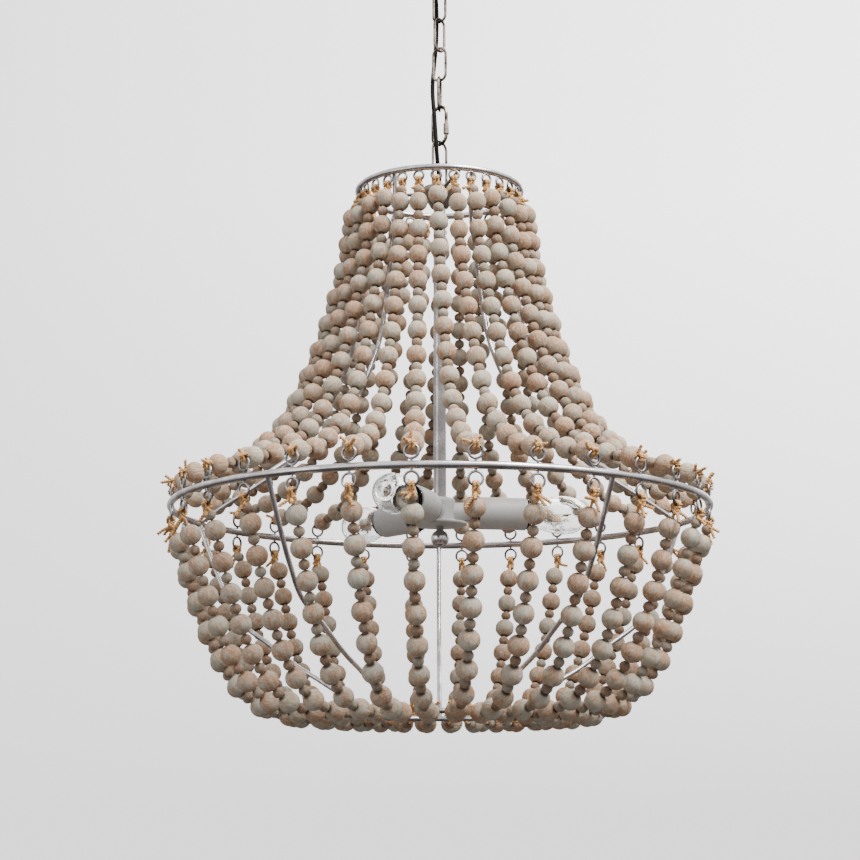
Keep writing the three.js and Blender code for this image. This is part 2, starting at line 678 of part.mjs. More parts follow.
// The glass's outline, as shares of its length past the socket and of its largest radius
const glassShares = [[0.22, 0.82], [0.42, 0.97], [0.6, 1], [0.78, 0.86], [0.92, 0.52]];

function bulb(angle) {
  const glassLength = bulbTip - socketFront;
  const glass = glassShares.map(([along, out]) => [out * bulbGlassRadius, socketFront + along * glassLength]);
  const profile = [
    [0, socketSeat + seatGap], [bulbBaseRadius, socketSeat + seatGap], [bulbBaseRadius, socketFront],
    ...glass, [0, bulbTip],
  ];
  return solidOf(pointedOutward(lathe(profile, 14), angle, lampHeight));
}

// Power cord: out of the canopy, down beside the chain, through the bail and into the hub
const cordRoute = [
  [-7, 16, -24], [-7, 16, -36], [-5.6, 12.5, -50], [-4, 9.2, -64], [-3.2, 8.3, -80], [-3.2, 8.3, -96],
  [-3.6, 8.3, -112], [-4.7, 8.6, -128], [-6.2, 9, -144], [-7.5, 8.9, -158], [-8, 7, -168], [-8, 2.5, -178],
  [-7.7, -2.5, -187], [-7.1, -6, -197], [-6, -7.4, -210], [-5, -8, -225], [-4, -8.8, -240], [-3.3, -8, -254],
  [-2.2, -5, -267], [-0.9, -1.9, -279], [0, 0, -290], [0, 0, -300]];

function powerCord() {
  const curve = new THREE.CatmullRomCurve3(cordRoute.map((place) => new THREE.Vector3(...place)));
  const section = new THREE.Shape();
  section.absarc(0, 0, cordDiameter / 2, 0, 2 * Math.PI);
  return solidOf(new THREE.ExtrudeGeometry(section, { steps: 34, extrudePath: curve, curveSegments: 4 }));
}

const chandelier = new THREE.Group();
const add = (name, solid, material) => chandelier.add(meshOf(name, solid, material));

add('ceiling_bar', ceilingBar(), colours.iron);
add('canopy', canopy(), colours.iron);
[-1, 1].forEach((side, i) => add(`canopy_screw_${i + 1}`, canopyScrew(side), colours.iron));
add('canopy_loop', canopyLoop(), colours.iron);
add('canopy_loop_nut', canopyLoopNut(), colours.iron);
add('cord_grommet', cordGrommet(), colours.black);
linkYaws.forEach((_, i) => add(`chain_link_${i + 1}`, chainLink(i), colours.iron));
add('quick_link', quickLink(), colours.iron);
add('quick_link_sleeve', quickLinkSleeve(), colours.iron);
add('bail', bail(), colours.iron);
add('power_cord', powerCord(), colours.black);
add('top_hub', topHub(), colours.silver);
add('stem', stem(), colours.silver);
add('top_ring', topRing(), colours.silver);
add('middle_ring', middleRing(), colours.silver);
add('bottom_ring', bottomRing(), colours.silver);
ribAngles.forEach((angle, i) => add(`upper_rib_${i + 1}`, upperRib(angle, ribLeans[i]), colours.silver));
ribAngles.forEach((angle, i) => add(`lower_rib_${i + 1}`, lowerRib(angle), colours.silver));
add('lamp_hub', lampHub(), colours.lampPaint);
add('finial', finial(), colours.silver);
lampAngles.forEach((angle, i) => {
  add(`lamp_socket_${i + 1}`, lampSocket(angle), colours.black);
  add(`lamp_sleeve_${i + 1}`, lampSleeve(angle), colours.lampPaint);
  add(`bulb_${i + 1}`, bulb(angle), colours.glass);
});
for (let i = 0; i < strandCount / sectorStrands; i += 1) {
  add(`upper_strands_${i + 1}`, sector(i, upperString, topKnotAt), colours.wood);
  add(`lower_strands_${i + 1}`, sector(i, lowerString, bottomKnotAt), colours.wood);
}

export default chandelier;
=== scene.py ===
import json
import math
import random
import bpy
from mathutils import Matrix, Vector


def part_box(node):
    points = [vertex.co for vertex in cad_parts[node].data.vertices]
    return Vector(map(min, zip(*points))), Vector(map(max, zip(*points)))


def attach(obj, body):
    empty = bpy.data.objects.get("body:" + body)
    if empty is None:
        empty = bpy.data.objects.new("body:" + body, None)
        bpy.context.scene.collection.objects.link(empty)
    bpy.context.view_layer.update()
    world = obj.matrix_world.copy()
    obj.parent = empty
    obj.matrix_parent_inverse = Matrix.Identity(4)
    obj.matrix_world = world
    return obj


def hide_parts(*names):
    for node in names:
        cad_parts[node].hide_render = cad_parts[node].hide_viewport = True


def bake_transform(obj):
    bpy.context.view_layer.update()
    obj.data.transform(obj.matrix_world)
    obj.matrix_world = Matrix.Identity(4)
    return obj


bl_info = {
    "name": "Beaded chandelier",
    "version": (1, 0, 0),
    "blender": (4, 5, 0),
    "location": "View3D > Sidebar > Chandelier",
    "description": "Dresses the frame of a beaded chandelier with beads, twine, wire, lamps and a chain",
    "category": "Object",
}

import bmesh
import bpy
from bpy.props import FloatProperty, FloatVectorProperty, IntProperty, PointerProperty
from mathutils import Matrix, Vector

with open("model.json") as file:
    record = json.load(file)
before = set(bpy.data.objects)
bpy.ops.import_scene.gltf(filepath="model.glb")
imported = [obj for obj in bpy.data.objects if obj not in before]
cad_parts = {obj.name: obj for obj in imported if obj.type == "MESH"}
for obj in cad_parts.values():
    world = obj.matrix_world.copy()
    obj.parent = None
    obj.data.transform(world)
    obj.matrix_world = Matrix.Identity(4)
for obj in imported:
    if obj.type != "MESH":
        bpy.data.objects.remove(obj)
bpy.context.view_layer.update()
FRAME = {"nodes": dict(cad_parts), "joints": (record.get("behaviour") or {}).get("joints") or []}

UP = Vector((0, 0, 1))
GAP = 0.0003  # between two pieces that touch

MIDDLE_HEIGHT = sum(corner[2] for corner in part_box("middle_ring")) / 2
BOTTOM_HEIGHT = sum(corner[2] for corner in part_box("bottom_ring")) / 2
HUB_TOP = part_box("top_hub")[1][2]
HUB_RISE = 0.005  # of the hub's top over the top ring's centre line
TOP_HEIGHT = HUB_TOP - HUB_RISE
LAMP_HEIGHT = sum(corner[2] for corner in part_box("lamp_hub")) / 2


# Properties: lengths in metres, angles in degrees from the front (-Y), growing towards +X


def length(name, text, default):
    return FloatProperty(name=name, description=text, default=default, unit="LENGTH", precision=4)


def count(name, text, default):
    return IntProperty(name=name, description=text, default=default, min=1)


def angle(name, text, default):
    return FloatProperty(name=name, description=text, default=default)


def linear(red, green, blue):
    """A colour given as it looks on screen, from 0 to 255, as the shader wants it."""
    shares = [value / 255 for value in (red, green, blue)]
    return [s / 12.92 if s <= 0.04045 else ((s + 0.055) / 1.055) ** 2.4 for s in shares]


def colour(name, text, *seen):
    return FloatVectorProperty(name=name, description=text, default=linear(*seen), subtype="COLOR", size=3)


class RingSizes(bpy.types.PropertyGroup):
    top_radius: length("Top ring", "Radius of the top ring's centre line", 0.0928)
    middle_radius: length("Middle ring", "Radius of the middle ring's centre line", 0.296)
    bottom_radius: length("Bottom ring", "Radius of the bottom ring's centre line", 0.09)
    top_wire: length("Top wire", "Thickness of the top ring", 0.007)
    middle_wire: length("Middle wire", "Thickness of the middle ring", 0.008)
    bottom_wire: length("Bottom wire", "Thickness of the bottom ring", 0.006)
    eyelet_wire: length("Eyelet wire", "Thickness of an eyelet", 0.0027)
    top_eyelet: length("Top eyelet", "Outer width of a top eyelet", 0.0136)
    middle_eyelet: length("Middle eyelet", "Outer width of a middle eyelet", 0.0167)
    middle_neck: length("Eyelet neck", "How far a neck holds a middle eyelet off its ring", 0.0022)
    weld: length("Weld", "How far an eyelet sinks into its ring", 0.0012)
    top_angle: angle("First top eyelet", "Angle of the first top eyelet", -2.2)
    middle_angle: angle("First middle eyelet", "Angle of the first middle eyelet", 6.7)
    rib_wire: length("Rib", "Thickness of a rib", 0.0054)


class StringSizes(bpy.types.PropertyGroup):
    strings: count("Strings", "Strings round the bell, and round the basket", 30)
    upper_beads: count("Bell beads", "Big beads on a string of the bell", 13)
    upper_width: length("Bell bead", "Width of the topmost big beads in the bell", 0.0208)
    upper_foot_width: length("Bell foot bead", "Width of the lowest big beads in the bell", 0.0225)
    upper_length: length("Bell bead length", "Length of a big bead in the bell", 0.0202)
    upper_pitch: length("Bell pitch", "Distance that the shifts in the bell are shares of", 0.0312)
    upper_first: length("First bell bead", "First big bead below the top eyelet", 0.024)
    upper_clear: length("Last bell bead", "Last big bead above the middle eyelet", 0.011)
    lower_beads: count("Basket beads", "Big beads on a string of the basket", 9)
    lower_pitch: length("Basket pitch", "Distance from one big bead to the next in the basket", 0.0331)
    lower_width: length("Basket bead", "Width of a big bead in the basket", 0.0226)
    lower_length: length("Basket bead length", "Length of a big bead in the basket", 0.0208)
    lower_first: length("First basket bead", "First big bead below the middle eyelet", 0.0237)
    small_width: length("Small bead", "Width of a small bead", 0.0122)
    small_length: length("Small bead length", "Length of a small bead", 0.0108)
    knot: length("Knot", "Width of a knot", 0.0118)
    knot_room: length("Knot room", "Length of string that a knot keeps clear of small beads", 0.0034)
    twine: length("Twine", "Thickness of the twine", 0.0042)
    tail: length("Tail", "Length of the longest cut ends of twine", 0.018)


class ChainSizes(bpy.types.PropertyGroup):
    wire: length("Wire", "Thickness of a link", 0.0032)
    link_length: length("Link length", "Outer length of a link", 0.0427)
    link_width: length("Link width", "Outer width of a link", 0.019)
    quick_wire: length("Quick link wire", "Thickness of the quick link", 0.004)
    quick_length: length("Quick link length", "Outer length of the quick link", 0.0492)
    quick_width: length("Quick link width", "Outer width of the quick link", 0.024)
    eye_radius: length("Canopy eye", "Radius of the ring under the canopy", 0.0115)
    bail_wire: length("Bail wire", "Thickness of the bail", 0.003)
    bail_width: length("Bail width", "Outer width of the bail", 0.023)
    cord: length("Cord", "Thickness of the power cord", 0.005)


class LampSizes(bpy.types.PropertyGroup):
    hub_radius: length("Lamp hub", "Radius of the lamp hub", 0.017)
    dish_radius: length("Dish", "Radius of the round plate under the lamp hub", 0.03)
    dish_height: length("Dish height", "Thickness of the plate under the lamp hub", 0.004)
    stem_radius: length("Stem", "Radius of the stem", 0.007)
    stem_bore: length("Stem bore", "Radius of the stem's bore", 0.005)
    arm_radius: length("Arm", "Radius of an arm", 0.011)
    start: length("Socket start", "Back of a socket from the stem's axis", 0.038)
    length: length("Socket length", "Length of a socket", 0.063)
    socket_radius: length("Socket", "Radius of a socket", 0.0154)
    rim_radius: length("Socket rim", "Radius of a socket's rims", 0.017)
    rim_length: length("Rim length", "Length of a socket's rims", 0.004)
    seat: length("Seat", "Floor of a socket's bore from the socket's back", 0.024)
    sleeve_radius: length("Sleeve", "Radius of a sleeve", 0.018)
    base_radius: length("Bulb base", "Radius of a bulb's base", 0.013)
    glass_radius: length("Glass", "Largest radius of a bulb's glass", 0.0213)
    tip: length("Bulb tip", "Tip of a bulb from the stem's axis", 0.171)
    ball_radius: length("Ball", "Radius of the ball under the lamp hub", 0.01)


class Finishes(bpy.types.PropertyGroup):
    wood: colour("Wood", "Warm colour of the big beads", 202, 162, 130)
    rust: colour("Dark wood", "Darker patches of the big beads", 168, 118, 82)
    wash: colour("Wash", "Pale green-grey wash on the beads", 182, 190, 177)
    small_wood: colour("Small beads", "Colour of the small beads", 128, 106, 88)
    # bore: painted shade at each bead's flat ends, standing for the hole, which the bead shape does not have
    bore: colour("Bead bores", "Dark wood round a bead's hole", 44, 32, 24)
    twine: colour("Twine", "Colour of the jute twine", 216, 168, 112)
    paint: colour("Frame paint", "Silver paint of the rings and ribs", 208, 205, 207)
    patina: colour("Frame patina", "Dark patches in the silver paint", 104, 99, 99)
    eyelet: colour("Eyelets", "Bright places of the eyelets' wire", 170, 168, 170)
    eyelet_dark: colour("Eyelet patina", "Dark places of the eyelets' wire", 46, 44, 44)
    hub: colour("Hub", "Grey metal of the top hub", 122, 117, 112)
    iron: colour("Chain", "Aged metal of the chain", 28, 22, 18)
    iron_edge: colour("Worn chain", "Bright worn places on the chain", 150, 138, 126)
    lamp: colour("Lamp paint", "Grey paint of the lamps", 186, 186, 185)
    black: colour("Black", "Sockets, grommet and cord", 14, 13, 13)
    brass: colour("Bulb base", "Bright places of a bulb's screw base", 206, 196, 176)
    brass_dark: colour("Bulb base patina", "Dark places of a bulb's screw base", 120, 110, 92)
    filament: colour("Filament", "Bright places of a bulb's wires", 206, 170, 110)
    filament_dark: colour("Filament patina", "Dark places of a bulb's wires", 120, 96, 64)
    backdrop: colour("Backdrop", "Plain studio backdrop", 226, 223, 223)


class Chandelier(bpy.types.PropertyGroup):
    rings: PointerProperty(type=RingSizes)
    strings: PointerProperty(type=StringSizes)
    chain: PointerProperty(type=ChainSizes)
    lamps: PointerProperty(type=LampSizes)
    finishes: PointerProperty(type=Finishes)


def sizes():
    return bpy.context.scene.chandelier


# Directions round the chandelier


def turns(steps, whole=2 * math.pi):
    """Even steps of a turn, in radians, from 0 to the whole of it."""
    return [whole * step / steps for step in range(steps + 1)]


def outward(degrees):
    turn = math.radians(degrees)
    return Vector((math.sin(turn), -math.cos(turn), 0))


def sideways(degrees):
    turn = math.radians(degrees)
    return Vector((math.cos(turn), math.sin(turn), 0))


def place_at(degrees, radius, height):
    return outward(degrees) * radius + UP * height


def upright_arc(along, radius, height, steps):
    """Points on an upright circle about the axis, at some turns from its direction."""
    return [along * (radius * math.cos(turn)) + UP * (height + radius * math.sin(turn)) for turn in steps]


def pointed_outward(degrees, height):
    """Turns a shape whose own Z is its axis so that the axis points outward at an angle."""
    turn = Matrix((sideways(degrees), UP, outward(degrees))).transposed().to_4x4()
    return Matrix.Translation((0, 0, height)) @ turn


# Node trees


def add_node(tree, kind, inputs=None, **settings):
    """A node with its settings and its inputs, each a value or a socket to link from."""
    made = tree.nodes.new(kind)
    for name, value in settings.items():
        setattr(made, name, value)
    for socket, value in (inputs or {}).items():
        if isinstance(value, bpy.types.NodeSocket):
            tree.links.new(value, made.inputs[socket])
        else:
            made.inputs[socket].default_value = value
    return made


def maths(tree, operation, first, second=0.0):
    return add_node(tree, "ShaderNodeMath", {0: first, 1: second}, operation=operation).outputs[0]


def plus(tree, first, second):
    return maths(tree, "ADD", first, second)


def minus(tree, first, second):
    return maths(tree, "SUBTRACT", first, second)


def times(tree, first, *others):
    for other in others:
        first = maths(tree, "MULTIPLY", first, other)
    return first


def socket_named(sockets, identifier):
    return next(socket for socket in sockets if socket.identifier == identifier)


def open_tree(name, kind, inputs, outputs):
    """A new node group with named sockets, and its two end nodes."""
    tree = bpy.data.node_groups.new(name, kind)
    for label, socket_type, default in inputs:
        socket = tree.interface.new_socket(label, in_out="INPUT", socket_type="NodeSocket" + socket_type)
        if default is not None:
            socket.default_value = default
    for label, socket_type in outputs:
        tree.interface.new_socket(label, in_out="OUTPUT", socket_type="NodeSocket" + socket_type)
    return tree, tree.nodes.new("NodeGroupInput").outputs, tree.nodes.new("NodeGroupOutput").inputs


def open_geometry(name, inputs):
    return open_tree(name, "GeometryNodeTree", inputs, [("Geometry", "Geometry")])


def close_geometry(tree, last, geometry, material=None):
    """Ends a geometry tree: instances made real, shaded smooth and given their material."""
    real = add_node(tree, "GeometryNodeRealizeInstances", {"Geometry": geometry})
    finished = add_node(tree, "GeometryNodeSetShadeSmooth", {"Geometry": real.outputs[0]}).outputs[0]
    if material is not None:
        finished = with_material(tree, finished, material)
    tree.links.new(finished, last[0])


def with_material(tree, geometry, material):
    return add_node(tree, "GeometryNodeSetMaterial", {"Geometry": geometry, "Material": material}).outputs[0]


def vector(tree, **parts):
    """A vector of its named X, Y and Z, where one that isn't named is 0."""
    return add_node(tree, "ShaderNodeCombineXYZ", parts).outputs[0]


def moved(tree, geometry, translation=(0, 0, 0), rotation=(0, 0, 0)):
    return add_node(tree, "GeometryNodeTransform", {
        "Geometry": geometry, "Translation": translation, "Rotation": rotation}).outputs[0]


def gathered(tree, pieces):
    join = add_node(tree, "GeometryNodeJoinGeometry")
    for piece in pieces:
        tree.links.new(piece, join.inputs[0])
    return join.outputs[0]


def stored(tree, geometry, name, value, kind="FLOAT", domain="POINT"):
    """Geometry that carries a named value at each point or instance."""
    return add_node(tree, "GeometryNodeStoreNamedAttribute", {
        "Geometry": geometry, "Name": name, "Value": value}, data_type=kind, domain=domain).outputs[0]


def read_back(tree, name):
    return add_node(tree, "GeometryNodeInputNamedAttribute", {"Name": name}, data_type="FLOAT").outputs[0]


def curve_of(tree, mesh):
    return add_node(tree, "GeometryNodeMeshToCurve", {"Mesh": mesh}).outputs[0]


def round_section(tree, width, sides):
    return add_node(tree, "GeometryNodeCurvePrimitiveCircle", {
        "Resolution": sides, "Radius": times(tree, width, 0.5)}).outputs[0]


def swept(tree, curve, section, caps=False):
    return add_node(tree, "GeometryNodeCurveToMesh", {
        "Curve": curve, "Profile Curve": section, "Fill Caps": caps}).outputs[0]


def rod_tree():
    """Round wire along every line of the mesh it is given."""
    tree, given, last = open_geometry("Rod along lines", [
        ("Lines", "Geometry", None), ("Width", "Float", 0.003), ("Sides", "Int", 12),
        ("Material", "Material", None)])
    section = round_section(tree, given["Width"], given["Sides"])
    close_geometry(tree, last, swept(tree, curve_of(tree, given["Lines"]), section, True), given["Material"])
    return tree


def twine_tree():
    """Two plies of twine wound round each other along every line of the mesh it is given."""
    tree, given, last = open_geometry("Twine along lines", [
        ("Lines", "Geometry", None), ("Width", "Float", 0.003), ("Lay", "Float", 0.006),
        ("Step", "Float", 0.0016), ("Material", "Material", None)])
    ply_share, aside_share = 0.62, 0.2
    even = add_node(tree, "GeometryNodeResampleCurve", {
        "Curve": curve_of(tree, given["Lines"]), "Length": given["Step"]}, mode="LENGTH")
    along = add_node(tree, "GeometryNodeSplineParameter").outputs["Length"]
    turn = maths(tree, "DIVIDE", times(tree, along, 2 * math.pi), given["Lay"])
    wound = add_node(tree, "GeometryNodeSetCurveTilt", {"Curve": even.outputs[0], "Tilt": turn})
    ply = round_section(tree, times(tree, given["Width"], ply_share), 5)
    plies = gathered(tree, [moved(tree, ply, vector(tree, X=times(tree, given["Width"], aside_share * way)))
                            for way in (-1, 1)])
    close_geometry(tree, last, swept(tree, wound.outputs[0], plies, True), given["Material"])
    return tree


def link_tree():
    """A welded chain link with a swelling at its weld."""
    tree, given, last = open_geometry("Chain link", [
        ("Geometry", "Geometry", None), ("Length", "Float", 0.04), ("Width", "Float", 0.02),
        ("Wire", "Float", 0.003), ("Height", "Float", 0.0), ("Turn", "Float", 0.0),
        ("Material", "Material", None)])
    weld_share = 0.56  # radius of the swelling, of the wire's thickness
    almost_round = 0.999
    wide = minus(tree, given["Width"], given["Wire"])
    tall = minus(tree, given["Length"], given["Wire"])
    half = times(tree, wide, 0.5)
    box = add_node(tree, "GeometryNodeCurvePrimitiveQuadrilateral", {"Width": wide, "Height": tall})
    line = add_node(tree, "GeometryNodeFilletCurve", {
        "Curve": box.outputs[0], "Radius": times(tree, half, almost_round), "Count": 12}, mode="POLY")
    wire = swept(tree, line.outputs[0], round_section(tree, given["Wire"], 14))
    bulge = add_node(tree, "GeometryNodeMeshUVSphere", {
        "Segments": 14, "Rings": 8, "Radius": times(tree, given["Wire"], weld_share)})
    weld = moved(tree, bulge.outputs[0], vector(tree, X=half))
    upright = moved(tree, gathered(tree, [wire, weld]), rotation=(math.pi / 2, 0, 0))
    placed = moved(tree, upright, vector(tree, Z=given["Height"]), vector(tree, Z=given["Turn"]))
    close_geometry(tree, last, placed, given["Material"])
    return tree


def ring_tree():
    """A wire ring with a row of eyelets brazed under it, over it or both."""
    tree, given, last = open_geometry("Ring with eyelets", [
        ("Geometry", "Geometry", None), ("Radius", "Float", 0.1), ("Wire", "Float", 0.005),
        ("Height", "Float", 0.0), ("Eyelets", "Int", 32), ("First eyelet", "Float", 0.0),
        ("Eyelet size", "Float", 0.012), ("Eyelet wire", "Float", 0.002), ("Weld", "Float", 0.001),
        ("Neck", "Float", 0.0), ("Above", "Bool", False), ("Below", "Bool", True),
        ("Material", "Material", None), ("Eyelet material", "Material", None)])
    hoop = add_node(tree, "GeometryNodeCurvePrimitiveCircle", {"Resolution": 160, "Radius": given["Radius"]})
    raised = moved(tree, hoop.outputs[0], vector(tree, Z=given["Height"]))
    ring = with_material(
        tree, swept(tree, raised, round_section(tree, given["Wire"], 14)), given["Material"])

    middle = times(tree, minus(tree, given["Eyelet size"], given["Eyelet wire"]), 0.5)
    eye = add_node(tree, "GeometryNodeCurvePrimitiveCircle", {"Resolution": 18, "Radius": middle})
    facing = moved(tree, swept(tree, eye.outputs[0], round_section(tree, given["Eyelet wire"], 8)),
                   rotation=(math.pi / 2, 0, 0))
    neck = add_node(tree, "GeometryNodeMeshCylinder", {
        "Vertices": 8, "Radius": times(tree, given["Eyelet wire"], 0.5),
        "Depth": plus(tree, given["Neck"], given["Weld"])}, fill_type="NONE").outputs[0]

    index = add_node(tree, "GeometryNodeInputIndex").outputs[0]
    step = maths(tree, "DIVIDE", 2 * math.pi, given["Eyelets"])
    turn = plus(tree, times(tree, index, step), given["First eyelet"])
    across = times(tree, maths(tree, "SINE", turn), given["Radius"])
    forward = times(tree, maths(tree, "COSINE", turn), given["Radius"], -1)
    touching = times(tree, plus(tree, given["Eyelet wire"], given["Wire"]), 0.5)
    standing = minus(tree, given["Neck"], given["Weld"])
    eye_reach = plus(tree, middle, plus(tree, touching, standing))
    neck_reach = plus(tree, times(tree, given["Wire"], 0.5), times(tree, standing, 0.5))
    spin = vector(tree, Z=turn)
    rows = []
    for side, wanted in ((1, given["Above"]), (-1, given["Below"])):
        for shape, reach in ((facing, eye_reach), (neck, neck_reach)):
            level = plus(tree, given["Height"], times(tree, reach, side))
            points = add_node(tree, "GeometryNodePoints", {
                "Count": given["Eyelets"], "Position": vector(tree, X=across, Y=forward, Z=level)})
            rows.append(add_node(tree, "GeometryNodeInstanceOnPoints", {
                "Points": points.outputs[0], "Instance": shape, "Rotation": spin,
                "Selection": wanted}).outputs[0])
    eyes = with_material(tree, gathered(tree, rows), given["Eyelet material"])
    close_geometry(tree, last, gathered(tree, [ring, eyes]))
    return tree


def drawn_between(tree, low, high, seed):
    """A random number for each point, from its seed."""
    number = add_node(tree, "FunctionNodeRandomValue", {"Seed": seed}, data_type="FLOAT")
    socket_named(number.inputs, "Min_001").default_value = low
    socket_named(number.inputs, "Max_001").default_value = high
    return number.outputs[1]


def bead_row(tree, given, guides, size, beads, widths, long, room, faces, material):
    """One row of beads on the guides, evenly from its first to its last, where the knots leave room."""
    flat_share = 0.93  # height of a bead's flat ends, of the round ball it is cut from
    trim = add_node(tree, "GeometryNodeTrimCurve", {"Curve": guides}, mode="LENGTH")
    for end, identifier in (("first", "Start_001"), ("last", "End_001")):
        tree.links.new(read_back(tree, f"{end}_{size}"), socket_named(trim.inputs, identifier))
    row = add_node(tree, "GeometryNodeResampleCurve", {"Curve": trim.outputs[0], "Count": beads})

    ball = add_node(tree, "GeometryNodeMeshUVSphere", {
        "Segments": faces[0], "Rings": faces[1], "Radius": 1.0})
    spot = add_node(tree, "GeometryNodeInputPosition").outputs[0]
    marked = stored(tree, ball.outputs[0], "bead_place", spot, "FLOAT_VECTOR")
    flat = spot
    for way, operation in ((-1, "MAXIMUM"), (1, "MINIMUM")):
        flat = add_node(tree, "ShaderNodeVectorMath", {0: flat, 1: (way, way, way * flat_share)},
                        operation=operation).outputs[0]
    bead = add_node(tree, "GeometryNodeSetPosition", {"Geometry": marked, "Position": flat})

    tangent = add_node(tree, "GeometryNodeInputTangent").outputs[0]
    along = add_node(tree, "FunctionNodeAlignRotationToVector", {"Vector": tangent}, axis="Z")
    down = add_node(tree, "GeometryNodeSplineParameter").outputs["Factor"]
    width = plus(tree, widths[0], times(tree, minus(tree, widths[1], widths[0]), down))
    half = times(tree, width, 0.5, drawn_between(tree, 0.965, 1.025, given["Seed"]))
    shape = vector(tree, X=half, Y=half, Z=times(tree, long, 0.5 / flat_share))
    clear = add_node(tree, "FunctionNodeBooleanMath", {
        number: maths(tree, "GREATER_THAN", read_back(tree, name), room)
        for number, name in enumerate(("from_start", "to_end"))})
    strung = add_node(tree, "GeometryNodeInstanceOnPoints", {
        "Points": row.outputs[0], "Instance": bead.outputs[0], "Rotation": along.outputs[0],
        "Scale": shape, "Selection": clear.outputs[0]})
    tone = drawn_between(tree, 0.0, 1.0, plus(tree, given["Seed"], 7))
    toned = stored(tree, strung.outputs[0], "bead_tone", tone, domain="INSTANCE")
    return with_material(tree, toned, material)


def bead_tree():
    """Big beads along each guide line, with a small bead between every two."""
    tree, given, last = open_geometry("Strings of beads", [
        ("Guides", "Geometry", None), ("Beads", "Int", 13), ("Small beads", "Int", 13),
        ("First width", "Float", 0.02), ("Last width", "Float", 0.02), ("Bead length", "Float", 0.019),
        ("Small width", "Float", 0.012), ("Small length", "Float", 0.011), ("Knot room", "Float", 0.004),
        ("Seed", "Int", 1), ("Wood", "Material", None), ("Small wood", "Material", None)])
    along = add_node(tree, "GeometryNodeSplineParameter").outputs["Length"]
    whole = add_node(tree, "GeometryNodeSplineLength").outputs["Length"]
    guides = stored(tree, curve_of(tree, given["Guides"]), "from_start", along)
    guides = stored(tree, guides, "to_end", minus(tree, whole, along))
    big = bead_row(tree, given, guides, "big", given["Beads"], (given["First width"], given["Last width"]),
                   given["Bead length"], 0.0, (16, 9), given["Wood"])
    room = plus(tree, given["Knot room"], times(tree, given["Small length"], 0.5))
    small = bead_row(tree, given, guides, "small", given["Small beads"], (given["Small width"],) * 2,
                     given["Small length"], room, (12, 6), given["Small wood"])
    close_geometry(tree, last, gathered(tree, [big, small]))
    return tree


TREES = {}


def tree_of(builder):
    if builder.__name__ not in TREES:
        TREES[builder.__name__] = builder()
    return TREES[builder.__name__]


# Pieces


def settle(piece, body, replaced=()):
    """A finished piece rides on its body and hides the solids it stands for."""
    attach(piece, body)
    if replaced:
        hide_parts(*replaced)


def lines_mesh(name, lines, closed=False, values=None):
    """A mesh of plain edges, one line of points after another, with named values for each line."""
    points = [point for line in lines for point in line]
    edges = []
    start = 0
    for line in lines:
        edges += [(start + i, start + i + 1) for i in range(len(line) - 1)]
        if closed:
            edges.append((start + len(line) - 1, start))
        start += len(line)
    mesh = bpy.data.meshes.new(name)
    mesh.from_pydata(points, edges, [])
    for label, row in (values or {}).items():
        spread = [value for line, value in zip(lines, row) for _ in line]
        mesh.attributes.new(label, "FLOAT", "POINT").data.foreach_set("value", spread)
    return mesh


def grown(name, builder, mesh, values):
    """The plain mesh that a geometry tree makes of a mesh, as an object at the origin."""
    start = bpy.data.objects.new(name + "_start", mesh)
    bpy.context.scene.collection.objects.link(start)
    modifier = start.modifiers.new("Shape", "NODES")
    tree = tree_of(builder)
    modifier.node_group = tree
    for socket in tree.interface.items_tree:
        if socket.item_type == "SOCKET" and socket.in_out == "INPUT" and socket.name in values:
            modifier[socket.identifier] = values[socket.name]
    depsgraph = bpy.context.evaluated_depsgraph_get()
    plain = bpy.data.meshes.new_from_object(start.evaluated_get(depsgraph), depsgraph=depsgraph)
    start.modifiers.remove(modifier)
    bpy.data.objects.remove(start)
    plain.name = name
    piece = bpy.data.objects.new(name, plain)
    bpy.context.scene.collection.objects.link(piece)
    return piece


def rods(name, lines, width, material, sides=12, closed=False):
    mesh = lines_mesh(name, lines, closed)
    return grown(name, rod_tree, mesh, {"Width": width, "Sides": sides, "Material": material})


def softened(profile, radius, steps=4):
    """A turning profile with its inner corners rounded."""
    points = [Vector(point) for point in profile]
    rounded = [points[0]]
    for before, corner, after in zip(points, points[1:], points[2:]):
        reach = min(radius, (before - corner).length * 0.45, (after - corner).length * 0.45)
        start = corner + (before - corner).normalized() * reach
        end = corner + (after - corner).normalized() * reach
        for step in range(steps + 1):
            t = step / steps
            rounded.append(start * (1 - t) ** 2 + corner * 2 * t * (1 - t) + end * t ** 2)
    return rounded + [points[-1]]


def turned(name, profile, material, steps=48, edge=0.0, place=None, closed=False, crease=40):
    """A piece turned about Z from (radius, height) points, from its bottom to its top on the outside."""
    if edge:
        profile = softened(profile, edge)
    shape = bmesh.new()
    tiny = GAP / 100
    circle = [(math.cos(turn), math.sin(turn)) for turn in turns(steps)[:-1]]
    rings = []
    for radius, height in profile:
        if radius < tiny:
            rings.append([shape.verts.new((0, 0, height))] * steps)
        else:
            rings.append([shape.verts.new((radius * x, radius * y, height)) for x, y in circle])
    pairs = list(zip(rings, rings[1:]))
    if closed:
        pairs.append((rings[-1], rings[0]))
    for low, high in pairs:
        for i in range(steps):
            j = (i + 1) % steps
            corners = list(dict.fromkeys([low[i], low[j], high[j], high[i]]))
            if len(corners) > 2:
                shape.faces.new(corners)
    mesh = bpy.data.meshes.new(name)
    shape.to_mesh(mesh)
    shape.free()
    mesh.shade_smooth()
    mesh.set_sharp_from_angle(angle=math.radians(crease))
    if place is not None:
        mesh.transform(place)
    mesh.materials.append(material)
    piece = bpy.data.objects.new(name, mesh)
    bpy.context.scene.collection.objects.link(piece)
    return piece


